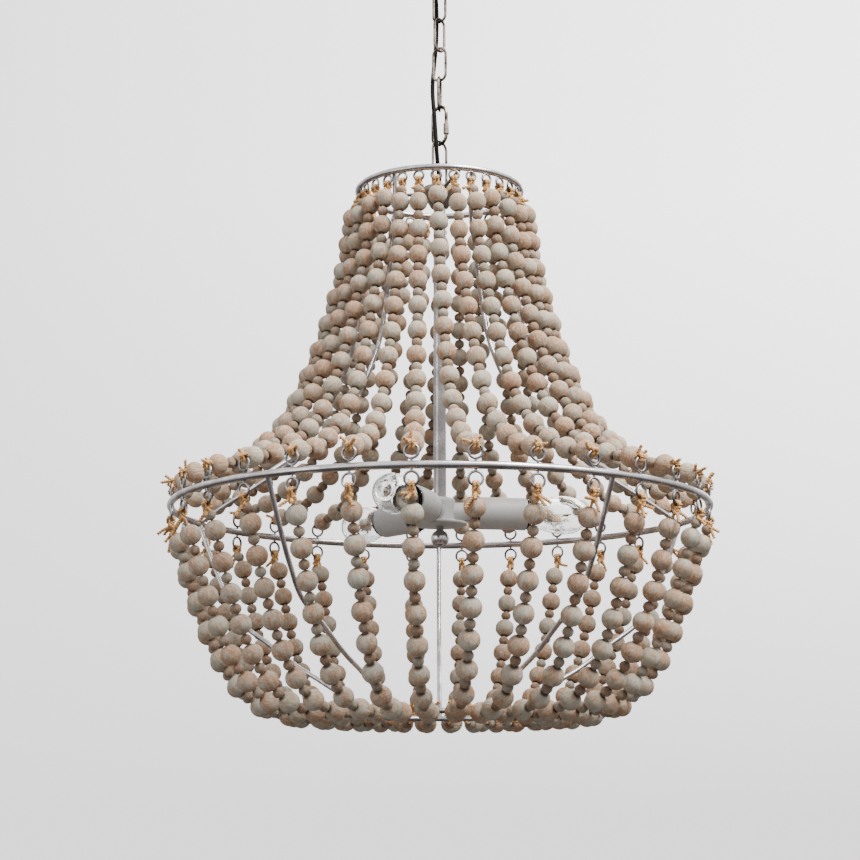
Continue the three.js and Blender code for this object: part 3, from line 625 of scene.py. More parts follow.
def joined(name, pieces):
    """One object of several, with all their materials."""
    shape = bmesh.new()
    mesh = bpy.data.meshes.new(name)
    materials = []
    for piece in pieces:
        before = len(shape.faces)
        own = list(piece.data.materials)
        shape.from_mesh(piece.data)
        shape.faces.ensure_lookup_table()
        for face in shape.faces[before:]:
            material = own[face.material_index]
            if material not in materials:
                materials.append(material)
            face.material_index = materials.index(material)
        bpy.data.objects.remove(piece)
    shape.to_mesh(mesh)
    shape.free()
    for material in materials:
        mesh.materials.append(material)
    whole = bpy.data.objects.new(name, mesh)
    bpy.context.scene.collection.objects.link(whole)
    return whole


def smooth_line(points, steps):
    """Points along a smooth curve through the given ones, evenly many between each two."""
    points = [Vector(point) for point in points]
    ends = [points[0] * 2 - points[1]] + points + [points[-1] * 2 - points[-2]]
    line = []
    for a, b, c, d in zip(ends, ends[1:], ends[2:], ends[3:]):
        for step in range(steps):
            t = step / steps
            line.append((b * 2 + (c - a) * t + (a * 2 - b * 5 + c * 4 - d) * t ** 2
                         + (b * 3 - a - c * 3 + d) * t ** 3) / 2)
    return line + [points[-1]]


# Shader groups


def noise(tree, place, scale, detail, roughness):
    return add_node(tree, "ShaderNodeTexNoise", {
        "Vector": place, "Scale": scale, "Detail": detail, "Roughness": roughness}).outputs[0]


def ranged(tree, value, low, high, start=0.0, end=1.0):
    return add_node(tree, "ShaderNodeMapRange", {
        "Value": value, "From Min": start, "From Max": end, "To Min": low, "To Max": high}).outputs[0]


def mottle_group():
    """Soft blotches and fine specks over an object's surface."""
    tree, given, last = open_tree("Mottle", "ShaderNodeTree", [
        ("Place", "Vector", None), ("Blotch scale", "Float", 40.0), ("Speck scale", "Float", 900.0)],
        [("Blotches", "Float"), ("Specks", "Float")])
    blotch = noise(tree, given["Place"], given["Blotch scale"], 5.0, 0.6)
    mask = add_node(tree, "ShaderNodeMapRange", {
        "Value": blotch, "From Min": 0.38, "From Max": 0.64}, interpolation_type="SMOOTHSTEP")
    tree.links.new(mask.outputs[0], last["Blotches"])
    tree.links.new(noise(tree, given["Place"], given["Speck scale"], 3.0, 0.7), last["Specks"])
    return tree


def grain_group():
    """Fine wood fibres that run along Z of the place they are given."""
    tree, given, last = open_tree("Wood grain", "ShaderNodeTree", [
        ("Place", "Vector", None), ("Fibre scale", "Float", 9.0)],
        [("Fibres", "Float"), ("Pores", "Float")])
    drawn = add_node(tree, "ShaderNodeVectorMath", {0: given["Place"], 1: (1.0, 1.0, 0.16)},
                     operation="MULTIPLY").outputs[0]
    pores = noise(tree, drawn, times(tree, given["Fibre scale"], 3.2), 2.0, 0.5)
    tree.links.new(noise(tree, drawn, given["Fibre scale"], 6.0, 0.62), last["Fibres"])
    tree.links.new(ranged(tree, pores, 0.0, 1.0, 0.3, 0.46), last["Pores"])
    return tree


def group(tree, builder, inputs):
    return add_node(tree, "ShaderNodeGroup", inputs, node_tree=tree_of(builder)).outputs


def shade(value, share):
    """A colour made darker or lighter, for a shader's own socket."""
    return [*(min(part * share, 1.0) for part in value), 1.0]


def blend_colours(tree, factor, first, second):
    mixed = add_node(tree, "ShaderNodeMix", data_type="RGBA")
    for identifier, value in (("Factor_Float", factor), ("A_Color", first), ("B_Color", second)):
        socket = socket_named(mixed.inputs, identifier)
        if isinstance(value, bpy.types.NodeSocket):
            tree.links.new(value, socket)
        else:
            socket.default_value = value
    return socket_named(mixed.outputs, "Result_Color")


def bumped(tree, height, distance, strength=0.5):
    return add_node(tree, "ShaderNodeBump", {
        "Height": height, "Distance": distance, "Strength": strength}).outputs[0]


# Materials


def new_material(name, **values):
    """A material with a Principled shader, whose plain values sit on its own sockets."""
    material = bpy.data.materials.new(name)
    material.use_nodes = True
    tree = material.node_tree
    shader = tree.nodes["Principled BSDF"]
    for label, value in values.items():
        shader.inputs[label.replace("_", " ")].default_value = value
    return material, tree, shader.inputs


def mottled(tree, place, blotch_scale, speck_scale):
    return group(tree, mottle_group, {
        "Place": place, "Blotch scale": blotch_scale, "Speck scale": speck_scale})


def object_mottle(tree, blotch_scale, speck_scale):
    place = add_node(tree, "ShaderNodeTexCoord").outputs["Object"]
    return mottled(tree, place, blotch_scale, speck_scale)


def bead_wood(name, warm, wash_share):
    """Grey-washed wood: warm rings and fibres under a pale wash, painted shade at the flat ends for the
    hole, each bead its own.
    """
    tints = sizes().finishes
    material, tree, shader = new_material(name)
    place = add_node(tree, "ShaderNodeAttribute", attribute_name="bead_place").outputs["Vector"]
    tone = add_node(tree, "ShaderNodeAttribute", attribute_name="bead_tone").outputs["Fac"]
    spread = add_node(tree, "ShaderNodeVectorMath", {0: (61.0, 37.0, 83.0), 3: tone}, operation="SCALE")
    apart = add_node(tree, "ShaderNodeVectorMath", {0: place, 1: spread.outputs[0]},
                     operation="ADD").outputs[0]
    grain = group(tree, grain_group, {"Place": apart, "Fibre scale": 5.0})
    mottle = mottled(tree, apart, 1.1, 9.0)
    patches = mottled(tree, apart, 2.3, 3.0)
    growth = add_node(tree, "ShaderNodeTexWave", {
        "Vector": apart, "Scale": 1.5, "Distortion": 3.2, "Detail": 2.0, "Detail Scale": 1.6},
        bands_direction="DIAGONAL").outputs["Fac"]

    fibre = ranged(tree, grain["Fibres"], 0.0, 1.0, 0.36, 0.66)
    base = blend_colours(tree, fibre, shade(warm, 0.56), shade(warm, 1.2))
    base = blend_colours(tree, times(tree, patches["Blotches"], 0.7), base, shade(tints.rust, 1.0))
    base = blend_colours(tree, ranged(tree, growth, 0.0, 0.5), base, shade(tints.rust, 0.74))

    own = plus(tree, times(tree, mottle["Blotches"], wash_share), ranged(tree, tone, -0.44, 0.44))
    washed = times(tree, ranged(tree, own, 0.1, 0.78), ranged(tree, grain["Fibres"], 0.7, 1.0, 0.35, 0.6))
    base = blend_colours(tree, washed, base, shade(tints.wash, 1.0))
    dust = ranged(tree, mottle["Specks"], 0.0, 0.4, 0.52, 0.75)
    base = blend_colours(tree, dust, base, shade(tints.wash, 1.15))

    # Painted shade: the bore colour darkens each bead towards its flat ends, standing for the hole, which is
    # not modelled
    height = maths(tree, "ABSOLUTE", add_node(tree, "ShaderNodeSeparateXYZ", {0: place}).outputs["Z"])
    end = ranged(tree, height, 0.0, 0.85, 0.84, 0.95)
    tree.links.new(blend_colours(tree, end, base, shade(tints.bore, 1.0)), shader["Base Color"])
    tree.links.new(ranged(tree, grain["Fibres"], 0.72, 0.92), shader["Roughness"])
    relief = plus(tree, fibre, times(tree, grain["Pores"], 0.6))
    tree.links.new(bumped(tree, relief, 0.0006, 0.8), shader["Normal"])
    return material


def jute(name, tan):
    """Hairy jute twine with darker and paler fibres."""
    material, tree, shader = new_material(name, Roughness=0.9)
    mottle = object_mottle(tree, 190.0, 2200.0)
    base = blend_colours(tree, mottle["Blotches"], shade(tan, 0.72), shade(tan, 1.1))
    fibre = ranged(tree, mottle["Specks"], 0.0, 0.7, 0.42, 0.7)
    tree.links.new(blend_colours(tree, fibre, base, shade(tan, 1.35)), shader["Base Color"])
    tree.links.new(bumped(tree, mottle["Specks"], 0.0006, 0.8), shader["Normal"])
    return material


def worn_metal(name, bright, dark, metallic, roughness, blotch_scale, dark_share):
    """Metal or metal paint with darker patches and fine specks in its gloss."""
    material, tree, shader = new_material(name, Metallic=metallic)
    specks_a_blotch = 14
    mottle = object_mottle(tree, blotch_scale, blotch_scale * specks_a_blotch)
    patch = times(tree, mottle["Blotches"], dark_share)
    base = blend_colours(tree, patch, shade(bright, 1.0), shade(dark, 1.0))
    fine = ranged(tree, mottle["Specks"], 0.0, 0.3, 0.45, 0.7)
    tree.links.new(blend_colours(tree, fine, base, shade(dark, 0.9)), shader["Base Color"])
    rough = plus(tree, ranged(tree, mottle["Specks"], -0.06, 0.1), roughness)
    tree.links.new(plus(tree, rough, times(tree, patch, 0.16)), shader["Roughness"])
    tree.links.new(bumped(tree, mottle["Specks"], 0.0001), shader["Normal"])
    return material


def moulded_black(name, black, roughness):
    """Black plastic or rubber with a faint bloom."""
    material, tree, shader = new_material(name, Specular_IOR_Level=0.08)
    mottle = object_mottle(tree, 60.0, 1400.0)
    base = blend_colours(tree, mottle["Blotches"], shade(black, 0.85), shade(black, 1.4))
    tree.links.new(base, shader["Base Color"])
    tree.links.new(ranged(tree, mottle["Specks"], roughness - 0.08, roughness + 0.1), shader["Roughness"])
    tree.links.new(bumped(tree, mottle["Specks"], 0.00005, 0.4), shader["Normal"])
    return material


def clear_glass(name):
    """Blown glass, slightly uneven."""
    material, tree, shader = new_material(
        name, Base_Color=(0.97, 0.985, 0.985, 1.0), Roughness=0.0, IOR=1.46, Transmission_Weight=1.0)
    mottle = object_mottle(tree, 26.0, 90.0)
    tree.links.new(bumped(tree, mottle["Blotches"], 0.0008, 0.2), shader["Normal"])
    return material


MATERIALS = {}


def finish(name):
    """The material of that name, made when it is first asked for."""
    if name not in MATERIALS:
        tints = sizes().finishes
        metals = {  # bright colour, dark colour, metallic, roughness, scale of blotches, share of dark
            "frame_paint": (tints.paint, tints.patina, 0.95, 0.22, 28.0, 0.5),
            "eyelet_wire": (tints.eyelet, tints.eyelet_dark, 1.0, 0.22, 60.0, 0.75),
            "hub_metal": (tints.hub, tints.patina, 0.8, 0.4, 40.0, 0.6),
            "aged_iron": (tints.iron_edge, tints.iron, 0.95, 0.26, 90.0, 0.93),
            "lamp_paint": (tints.lamp, shade(tints.lamp, 0.8)[:3], 0.1, 0.52, 24.0, 0.4),
            "polished_steel": (tints.paint, tints.patina, 0.95, 0.16, 40.0, 0.3),
            "base_brass": (tints.brass, tints.brass_dark, 1.0, 0.26, 70.0, 0.5),
            "filament": (tints.filament, tints.filament_dark, 0.9, 0.35, 200.0, 0.4),
        }
        others = {
            "bead_wood": lambda: bead_wood(name, tints.wood, 0.9),
            "small_bead_wood": lambda: bead_wood(name, tints.small_wood, 0.4),
            "twine": lambda: jute(name, tints.twine),
            "socket_black": lambda: moulded_black(name, tints.black, 0.42),
            "cord_black": lambda: moulded_black(name, tints.black, 0.5),
            "bulb_glass": lambda: clear_glass(name),
        }
        MATERIALS[name] = worn_metal(name, *metals[name]) if name in metals else others[name]()
    return MATERIALS[name]


# Outlines, as shares of the way between two rings and of the height between them

UPPER_STRING_SHARES = [
    (0.052, 0.885), (0.067, 0.79), (0.1, 0.71), (0.138, 0.63), (0.178, 0.553), (0.219, 0.48),
    (0.273, 0.403), (0.338, 0.323), (0.422, 0.24), (0.53, 0.174), (0.657, 0.121), (0.791, 0.083)]
LOWER_STRING_SHARES = [
    (0.955, 0.192), (0.913, 0.321), (0.864, 0.455), (0.806, 0.595), (0.734, 0.737), (0.641, 0.863),
    (0.523, 0.957), (0.38, 1.003), (0.225, 1.015), (0.106, 1.02)]
UPPER_RIB_SHARES = [
    (-0.04, 0.88), (-0.015, 0.79), (0.05, 0.57), (0.1, 0.465), (0.203, 0.352), (0.355, 0.237),
    (0.448, 0.169), (0.818, 0.057)]
LOWER_RIB_SHARES = [
    (0.888, 0.25), (0.82, 0.383), (0.728, 0.521), (0.553, 0.637), (0.388, 0.749), (0.248, 0.824),
    (0.097, 0.915)]
# How far each string's beads are moved along it, as shares of the bead pitch
UPPER_SHIFT_SHARES = [-0.14, 0.18, 0.07, -0.18, 0.07, 0.13, -0.09, -0.22, 0.07, 0.14]
LOWER_SHIFT_SHARES = [-0.13, 0.02, 0.02, 0.02, 0, 0.08, 0.05, -0.05, -0.05, 0.07]

# Angles round the upright axis, in degrees

RIB_ANGLES = [35.4, 110.4, 180.3, -109.8, -35.2]
RIB_LEANS = [-11.1, 0, 0, 0, 0]  # turn of each upper rib's top from its foot
LAMP_ANGLES = [-20, 100, 220]
SPOKE_ANGLES = [15, 135, -105]
EYE_TURN = 60
LINK_TURNS = [-30, 45, -25, 80]
QUICK_LINK_TURN = -40
BAIL_TURN = 40

BELL_HEIGHT = TOP_HEIGHT - MIDDLE_HEIGHT
BASKET_DEPTH = MIDDLE_HEIGHT - BOTTOM_HEIGHT


def eyelet_reach(size, ring_wire, neck=0.0):
    """From a ring's centre line to the middle of its eyelets."""
    rings = sizes().rings
    return (size - rings.eyelet_wire) / 2 + (rings.eyelet_wire + ring_wire) / 2 - rings.weld + neck


def top_eyelet_reach():
    return eyelet_reach(sizes().rings.top_eyelet, sizes().rings.top_wire)


def middle_eyelet_reach():
    rings = sizes().rings
    return eyelet_reach(rings.middle_eyelet, rings.middle_wire, rings.middle_neck)


def between(low, high, share):
    return low + (high - low) * share


def string_in_plane(start, end, span, outline):
    """A string's line in the upright plane through its two ends."""
    run = Vector((end.x - start.x, end.y - start.y, 0)).normalized()
    inner = [Vector((start.x, start.y, height)) + run * (reach * span) for reach, height in outline]
    return smooth_line([start, *inner, end], 5)


def line_length(line):
    return sum((after - before).length for before, after in zip(line, line[1:]))


def upper_string(index):
    rings = sizes().rings
    turn = 360 / sizes().strings.strings * index
    eyelet_foot = TOP_HEIGHT - top_eyelet_reach() - rings.top_eyelet / 2
    start = place_at(rings.top_angle + turn, rings.top_radius, eyelet_foot - GAP)
    eyelet_top = MIDDLE_HEIGHT + middle_eyelet_reach() + (rings.middle_eyelet - rings.eyelet_wire) / 2
    end = place_at(rings.middle_angle + turn, rings.middle_radius - rings.eyelet_wire / 2 - GAP, eyelet_top)
    outline = [(out, MIDDLE_HEIGHT + rise * BELL_HEIGHT) for out, rise in UPPER_STRING_SHARES]
    return string_in_plane(start, end, rings.middle_radius - rings.top_radius, outline)


def lower_string(index):
    rings = sizes().rings
    turn = rings.middle_angle + 360 / sizes().strings.strings * index
    eyelet_foot = MIDDLE_HEIGHT - middle_eyelet_reach() - rings.middle_eyelet / 2
    start = place_at(turn, rings.middle_radius, eyelet_foot - GAP)
    end = place_at(turn, rings.bottom_radius + rings.bottom_wire / 2 + GAP,
                   BOTTOM_HEIGHT - rings.bottom_wire / 2)
    outline = [(1 - out, MIDDLE_HEIGHT - drop * BASKET_DEPTH) for out, drop in LOWER_STRING_SHARES]
    return string_in_plane(start, end, rings.middle_radius - rings.bottom_radius, outline)


def background(tree, strength):
    colour_seen = shade(sizes().finishes.backdrop, 1.0)
    return add_node(tree, "ShaderNodeBackground", {"Color": colour_seen, "Strength": strength}).outputs[0]


def mixed_shader(tree, factor, first, second):
    return add_node(tree, "ShaderNodeMixShader", {0: factor, 1: first, 2: second}).outputs[0]


def studio_world():
    """A white studio: a bright backdrop, lighter towards the top right, in a dimmer room."""
    world = bpy.data.worlds.new("Studio")
    world.use_nodes = True
    tree = world.node_tree
    tree.nodes.remove(tree.nodes["Background"])
    direction = add_node(tree, "ShaderNodeSeparateXYZ", {
        0: add_node(tree, "ShaderNodeTexCoord").outputs["Generated"]}).outputs
    rise = ranged(tree, direction["Z"], 0.0, 1.0, 0.0, 0.3)
    side = ranged(tree, direction["X"], 0.4, 3.4, -0.3, 0.3)
    ahead = ranged(tree, direction["Y"], 0.15, 1.0, 0.3, 0.85)
    backdrop = background(tree, times(tree, plus(tree, times(tree, rise, side), 2.35), ahead))
    room = background(tree, ranged(tree, direction["Z"], 0.38, 1.28, -0.3, 0.75))
    mirrored = background(tree, ranged(tree, direction["Z"], 0.12, 2.4, -0.35, 0.45))
    rays = add_node(tree, "ShaderNodeLightPath").outputs
    seen = maths(tree, "MAXIMUM", rays["Is Camera Ray"], rays["Is Transmission Ray"])
    indoors = mixed_shader(tree, rays["Is Glossy Ray"], room, mirrored)
    tree.links.new(mixed_shader(tree, seen, indoors, backdrop), tree.nodes["World Output"].inputs["Surface"])
    return world


# Operators


class MakeStage(bpy.types.Operator):
    """Sets the camera, the soft studio light and the backdrop"""
    bl_idname = "chandelier.make_stage"
    bl_label = "Stage"

    def execute(self, context):
        eye_distance = 2.18
        eye_drop = 0.3288  # below the middle ring
        eye_tilt = 10.89  # upward
        eye_pan = 0.288
        camera = bpy.data.cameras.new("Camera")
        camera.lens = 83.3
        eye = bpy.data.objects.new("Camera", camera)
        eye.location = (0, -eye_distance, MIDDLE_HEIGHT - eye_drop)
        eye.rotation_euler = (math.radians(90 + eye_tilt), 0, math.radians(eye_pan))
        context.scene.collection.objects.link(eye)
        context.scene.camera = eye

        middle = Vector((0, 0, MIDDLE_HEIGHT))
        lights = [  # name, place from the middle ring, width, power, warmth
            ("Key", (1.5, -1.3, 2.7), 2.2, 350, (1.0, 0.975, 0.94)),
            ("Fill", (-2.6, -1.9, 0.6), 1.8, 26, (0.93, 0.96, 1.0)),
            ("Back", (0.8, 2.6, 1.5), 2.0, 50, (1.0, 0.985, 0.96)),
        ]
        for name, offset, width, power, tint in lights:
            light = bpy.data.lights.new(name, "AREA")
            light.size = width
            light.energy = power
            light.color = tint
            lamp = bpy.data.objects.new(name, light)
            lamp.location = middle + Vector(offset)
            lamp.rotation_euler = (middle - lamp.location).to_track_quat("-Z", "Y").to_euler()
            lamp.visible_camera = False
            context.scene.collection.objects.link(lamp)
        context.scene.world = studio_world()
        return {"FINISHED"}


class MakeCeilingFitting(bpy.types.Operator):
    """Makes the canopy, its screws, collar, ring and grommet, and finishes the bar and nut"""
    bl_idname = "chandelier.make_ceiling_fitting"
    bl_label = "Ceiling fitting"

    def execute(self, context):
        iron = finish("aged_iron")
        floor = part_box("canopy")[0][2]
        self.canopy(floor, iron)
        for number in (1, 2):
            self.screw(number, floor - GAP, iron)
        self.collar_and_eye(floor - GAP, iron)
        self.grommet()
        for name in ("ceiling_bar", "canopy_loop_nut"):
            solid = FRAME["nodes"][name]
            solid.data.materials.clear()
            solid.data.materials.append(iron)
        return {"FINISHED"}

    def canopy(self, floor, iron):
        wall, shoulder, rim, hole = 0.0014, 0.014, 0.007, 0.0035
        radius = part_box("canopy")[1][0]
        lip = wall * 0.45

        def shell(edge, height):
            return [(edge - shoulder * (1 - math.cos(turn)), -(height - rim) * math.sin(turn) - rim)
                    for turn in turns(10, math.pi / 2)]

        profile = [
            (hole, floor), *reversed(shell(radius, -floor)), (radius, -GAP - lip), (radius - lip, -GAP),
            (radius - wall + lip / 2, -GAP), (radius - wall, -GAP - lip),
            *shell(radius - wall, -floor - wall), (hole, floor + wall)]
        cup = turned("canopy_cup", profile, iron, steps=72, closed=True)
        settle(cup, "ceiling_fitting", ["canopy"])

    def screw(self, number, seat, iron):
        dome_radius, dome_height, shank = 0.0045, 0.007, 0.002
        flat_share = 0.45  # of the dome's height, below its curve
        low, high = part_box(f"canopy_screw_{number}")
        dome = [(dome_radius * math.sin(turn),
                 seat - dome_height * (flat_share + (1 - flat_share) * math.cos(turn)))
                for turn in turns(6, math.pi / 2)]
        profile = [*dome, (dome_radius, seat), (shank, seat), (shank, high[2]), (0, high[2])]
        place = Matrix.Translation(((low[0] + high[0]) / 2, 0, 0))
        nut = turned(f"dome_nut_{number}", profile, iron, steps=24, place=place)
        settle(nut, "ceiling_fitting", [f"canopy_screw_{number}"])

    def collar_and_eye(self, seat, iron):
        chain = sizes().chain
        collar_radius, collar_height, shank = 0.0065, 0.003, 0.0032
        low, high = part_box("canopy_loop")
        collar = turned("collar", [
            (0, seat - collar_height), (collar_radius, seat - collar_height), (collar_radius, seat),
            (shank, seat), (shank, high[2]), (0, high[2])], iron, steps=32, edge=0.0006)
        centre = low[2] + chain.wire / 2 + chain.eye_radius
        eye = upright_arc(sideways(EYE_TURN), chain.eye_radius, centre, turns(48)[:-1])
        ring = rods("eye", [eye], chain.wire, iron, 14, closed=True)
        settle(joined("canopy_eye", [collar, ring]), "ceiling_fitting", ["canopy_loop"])

    def grommet(self):
        neck, flange, flange_height = 0.005, 0.0065, 0.0016
        bore = sizes().chain.cord / 2 + GAP
        low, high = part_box("cord_grommet")
        place = Matrix.Translation(((low[0] + high[0]) / 2, (low[1] + high[1]) / 2, 0))
        bush = turned("grommet_bush", [
            (bore, low[2]), (flange, low[2]), (flange, low[2] + flange_height),
            (neck, low[2] + flange_height), (neck, high[2]), (bore, high[2])],
            finish("socket_black"), steps=32, edge=0.0005, closed=True, place=place)
        settle(bush, "ceiling_fitting", ["cord_grommet"])


class MakeChain(bpy.types.Operator):
    """Makes the four chain links"""
    bl_idname = "chandelier.make_chain"
    bl_label = "Chain"

    def execute(self, context):
        chain = sizes().chain
        for number, yaw in enumerate(LINK_TURNS, start=1):
            low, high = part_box(f"chain_link_{number}")
            link = grown(f"link_wire_{number}", link_tree, bpy.data.meshes.new("link"), {
                "Length": chain.link_length, "Width": chain.link_width, "Wire": chain.wire,
                "Height": (low[2] + high[2]) / 2, "Turn": math.radians(yaw),
                "Material": finish("aged_iron")})
            settle(link, f"link_{number}", [f"chain_link_{number}"])
        return {"FINISHED"}


class MakeQuickLink(bpy.types.Operator):
    """Makes the quick link and its screw sleeve"""
    bl_idname = "chandelier.make_quick_link"
    bl_label = "Quick link"

    def execute(self, context):
        gap = 0.0035  # from the sleeve's middle to the ends of the wire in it
        chain = sizes().chain
        along = sideways(QUICK_LINK_TURN)
        low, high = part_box("quick_link")
        middle = (low[2] + high[2]) / 2
        half = (chain.quick_width - chain.quick_wire) / 2
        straight = (chain.quick_length - chain.quick_width) / 2
        sleeve_low, sleeve_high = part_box("quick_link_sleeve")
        sleeve_middle = (sleeve_low[2] + sleeve_high[2]) / 2
        line = [along * half + UP * (sleeve_middle + gap)]
        for end in (1, -1):
            for turn in turns(16, math.pi):
                line.append(along * (end * half * math.cos(turn))
                            + UP * (middle + end * (straight + half * math.sin(turn))))
        line.append(along * half + UP * (sleeve_middle - gap))
        wire = rods("quick_link_wire", [line], chain.quick_wire, finish("aged_iron"), 16)
        settle(wire, "quick_link", ["quick_link"])

        sides, radius, chamfer = 6, 0.0035, 0.0006
        bore = (chain.quick_wire / 2 + GAP) / math.cos(math.pi / sides)
        end = (sleeve_high[2] - sleeve_low[2]) / 2
        profile = [(bore, -end), (radius - chamfer, -end), (radius, -end + chamfer), (radius, end - chamfer),
                   (radius - chamfer, end), (bore, end)]
        turn = Matrix.Rotation(math.radians(QUICK_LINK_TURN), 4, "Z")
        sleeve = turned("sleeve_nut", profile, finish("aged_iron"), steps=sides, closed=True, crease=20,
                        place=Matrix.Translation(along * half + UP * sleeve_middle) @ turn)
        settle(sleeve, "quick_link_sleeve", ["quick_link_sleeve"])
        return {"FINISHED"}


class MakeHub(bpy.types.Operator):
    """Makes the bail, the top hub with its spokes, and the stem"""
    bl_idname = "chandelier.make_hub"
    bl_label = "Hub and stem"

    def execute(self, context):
        chain = sizes().chain
        along = sideways(BAIL_TURN)
        half = (chain.bail_width - chain.bail_wire) / 2
        self.bail(along, half)
        self.hub(along, half)

        lamps = sizes().lamps
        low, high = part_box("stem")
        tube = turned("stem_tube", [
            (lamps.stem_bore, low[2]), (lamps.stem_radius, low[2]), (lamps.stem_radius, high[2]),
            (lamps.stem_bore, high[2])], finish("frame_paint"), steps=32, edge=0.0004, closed=True)
        settle(tube, "fixture", ["stem"])
        return {"FINISHED"}

    def bail(self, along, half):
        wire = sizes().chain.bail_wire
        plate = 0.008  # of the hub, which the bail's feet go through
        foot = HUB_TOP - plate + GAP
        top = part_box("bail")[1][2] - wire / 2
        arch = upright_arc(along, half, top - half, turns(20, math.pi))
        line = [along * half + UP * foot, *arch, along * -half + UP * foot]
        settle(rods("bail_wire", [line], wire, finish("aged_iron"), 14), "fixture", ["bail"])

    def hub(self, along, half):
        rings = sizes().rings
        radius, rim, height, foot_radius = 0.02, 0.006, 0.024, 0.0095
        body = turned("hub_cup", [
            (0, HUB_TOP - height), (foot_radius, HUB_TOP - height), (radius, HUB_TOP - rim),
            (radius, HUB_TOP), (0, HUB_TOP)], finish("hub_metal"), steps=56, edge=0.0016)
        spoke = 0.004
        spoke_end = rings.top_radius - rings.top_wire / 2
        spokes = rods("spokes", [
            [place_at(turn, radius - rings.weld, TOP_HEIGHT), place_at(turn, spoke_end, TOP_HEIGHT)]
            for turn in SPOKE_ANGLES], spoke, finish("hub_metal"), 12)
        collar_radius, collar_height = sizes().chain.bail_wire * 1.1, 0.0016
        collars = [turned("collar", [
            (0, 0), (collar_radius, 0), (collar_radius, collar_height), (0, collar_height)],
            finish("aged_iron"), steps=20, edge=0.0004,
            place=Matrix.Translation(along * (side * half) + UP * HUB_TOP)) for side in (-1, 1)]
        settle(joined("hub_with_spokes", [body, spokes, *collars]), "fixture", ["top_hub"])


class MakeRings(bpy.types.Operator):
    """Makes the three rings with their eyelets"""
    bl_idname = "chandelier.make_rings"
    bl_label = "Rings"

    def execute(self, context):
        rings = sizes().rings
        rows = [  # name, height, eyelet size, neck, first eyelet, above, below
            ("top", TOP_HEIGHT, rings.top_eyelet, 0.0, rings.top_angle, False, True),
            ("middle", MIDDLE_HEIGHT, rings.middle_eyelet, rings.middle_neck, rings.middle_angle,
             True, True),
            ("bottom", BOTTOM_HEIGHT, rings.top_eyelet, 0.0, rings.middle_angle, False, False),
        ]
        for name, height, eyelet, neck, first, above, below in rows:
            hoop = grown(name + "_hoop", ring_tree, bpy.data.meshes.new(name + "_hoop"), {
                "Radius": getattr(rings, name + "_radius"), "Wire": getattr(rings, name + "_wire"),
                "Height": height, "Eyelets": sizes().strings.strings, "First eyelet": math.radians(first),
                "Eyelet size": eyelet, "Eyelet wire": rings.eyelet_wire, "Weld": rings.weld, "Neck": neck,
                "Above": above, "Below": below, "Material": finish("frame_paint"),
                "Eyelet material": finish("eyelet_wire")})
            settle(hoop, "fixture", [name + "_ring"])
        return {"FINISHED"}


class MakeRibs(bpy.types.Operator):
    """Makes the five upper and five lower ribs"""
    bl_idname = "chandelier.make_ribs"
    bl_label = "Ribs"

    def execute(self, context):
        rings = sizes().rings
        beside = rings.top_radius - (rings.top_wire + rings.rib_wire) / 2
        upper = [
            (between(rings.top_radius, rings.middle_radius, out), MIDDLE_HEIGHT + rise * BELL_HEIGHT)
            for out, rise in UPPER_RIB_SHARES]
        upper = [(beside, TOP_HEIGHT + rings.top_wire / 4), *upper, (rings.middle_radius, MIDDLE_HEIGHT)]
        lower = [
            (between(rings.bottom_radius, rings.middle_radius, out), MIDDLE_HEIGHT - drop * BASKET_DEPTH)
            for out, drop in LOWER_RIB_SHARES]
        lower = [(rings.middle_radius, MIDDLE_HEIGHT), *lower, (rings.bottom_radius, BOTTOM_HEIGHT)]
        for row, outline, leans in (("upper", upper, RIB_LEANS), ("lower", lower, [0] * len(RIB_ANGLES))):
            first, last = outline[0][0], outline[-1][0]
            for number, (turn, lean) in enumerate(zip(RIB_ANGLES, leans), start=1):
                start, end = place_at(turn + lean, first, 0), place_at(turn, last, 0)
                line = smooth_line([start.lerp(end, (radius - first) / (last - first)) + UP * height
                                    for radius, height in outline], 8)
                rib = rods(f"{row}_rib_rod_{number}", [line], rings.rib_wire, finish("frame_paint"))
                settle(rib, "fixture", [f"{row}_rib_{number}"])
        return {"FINISHED"}


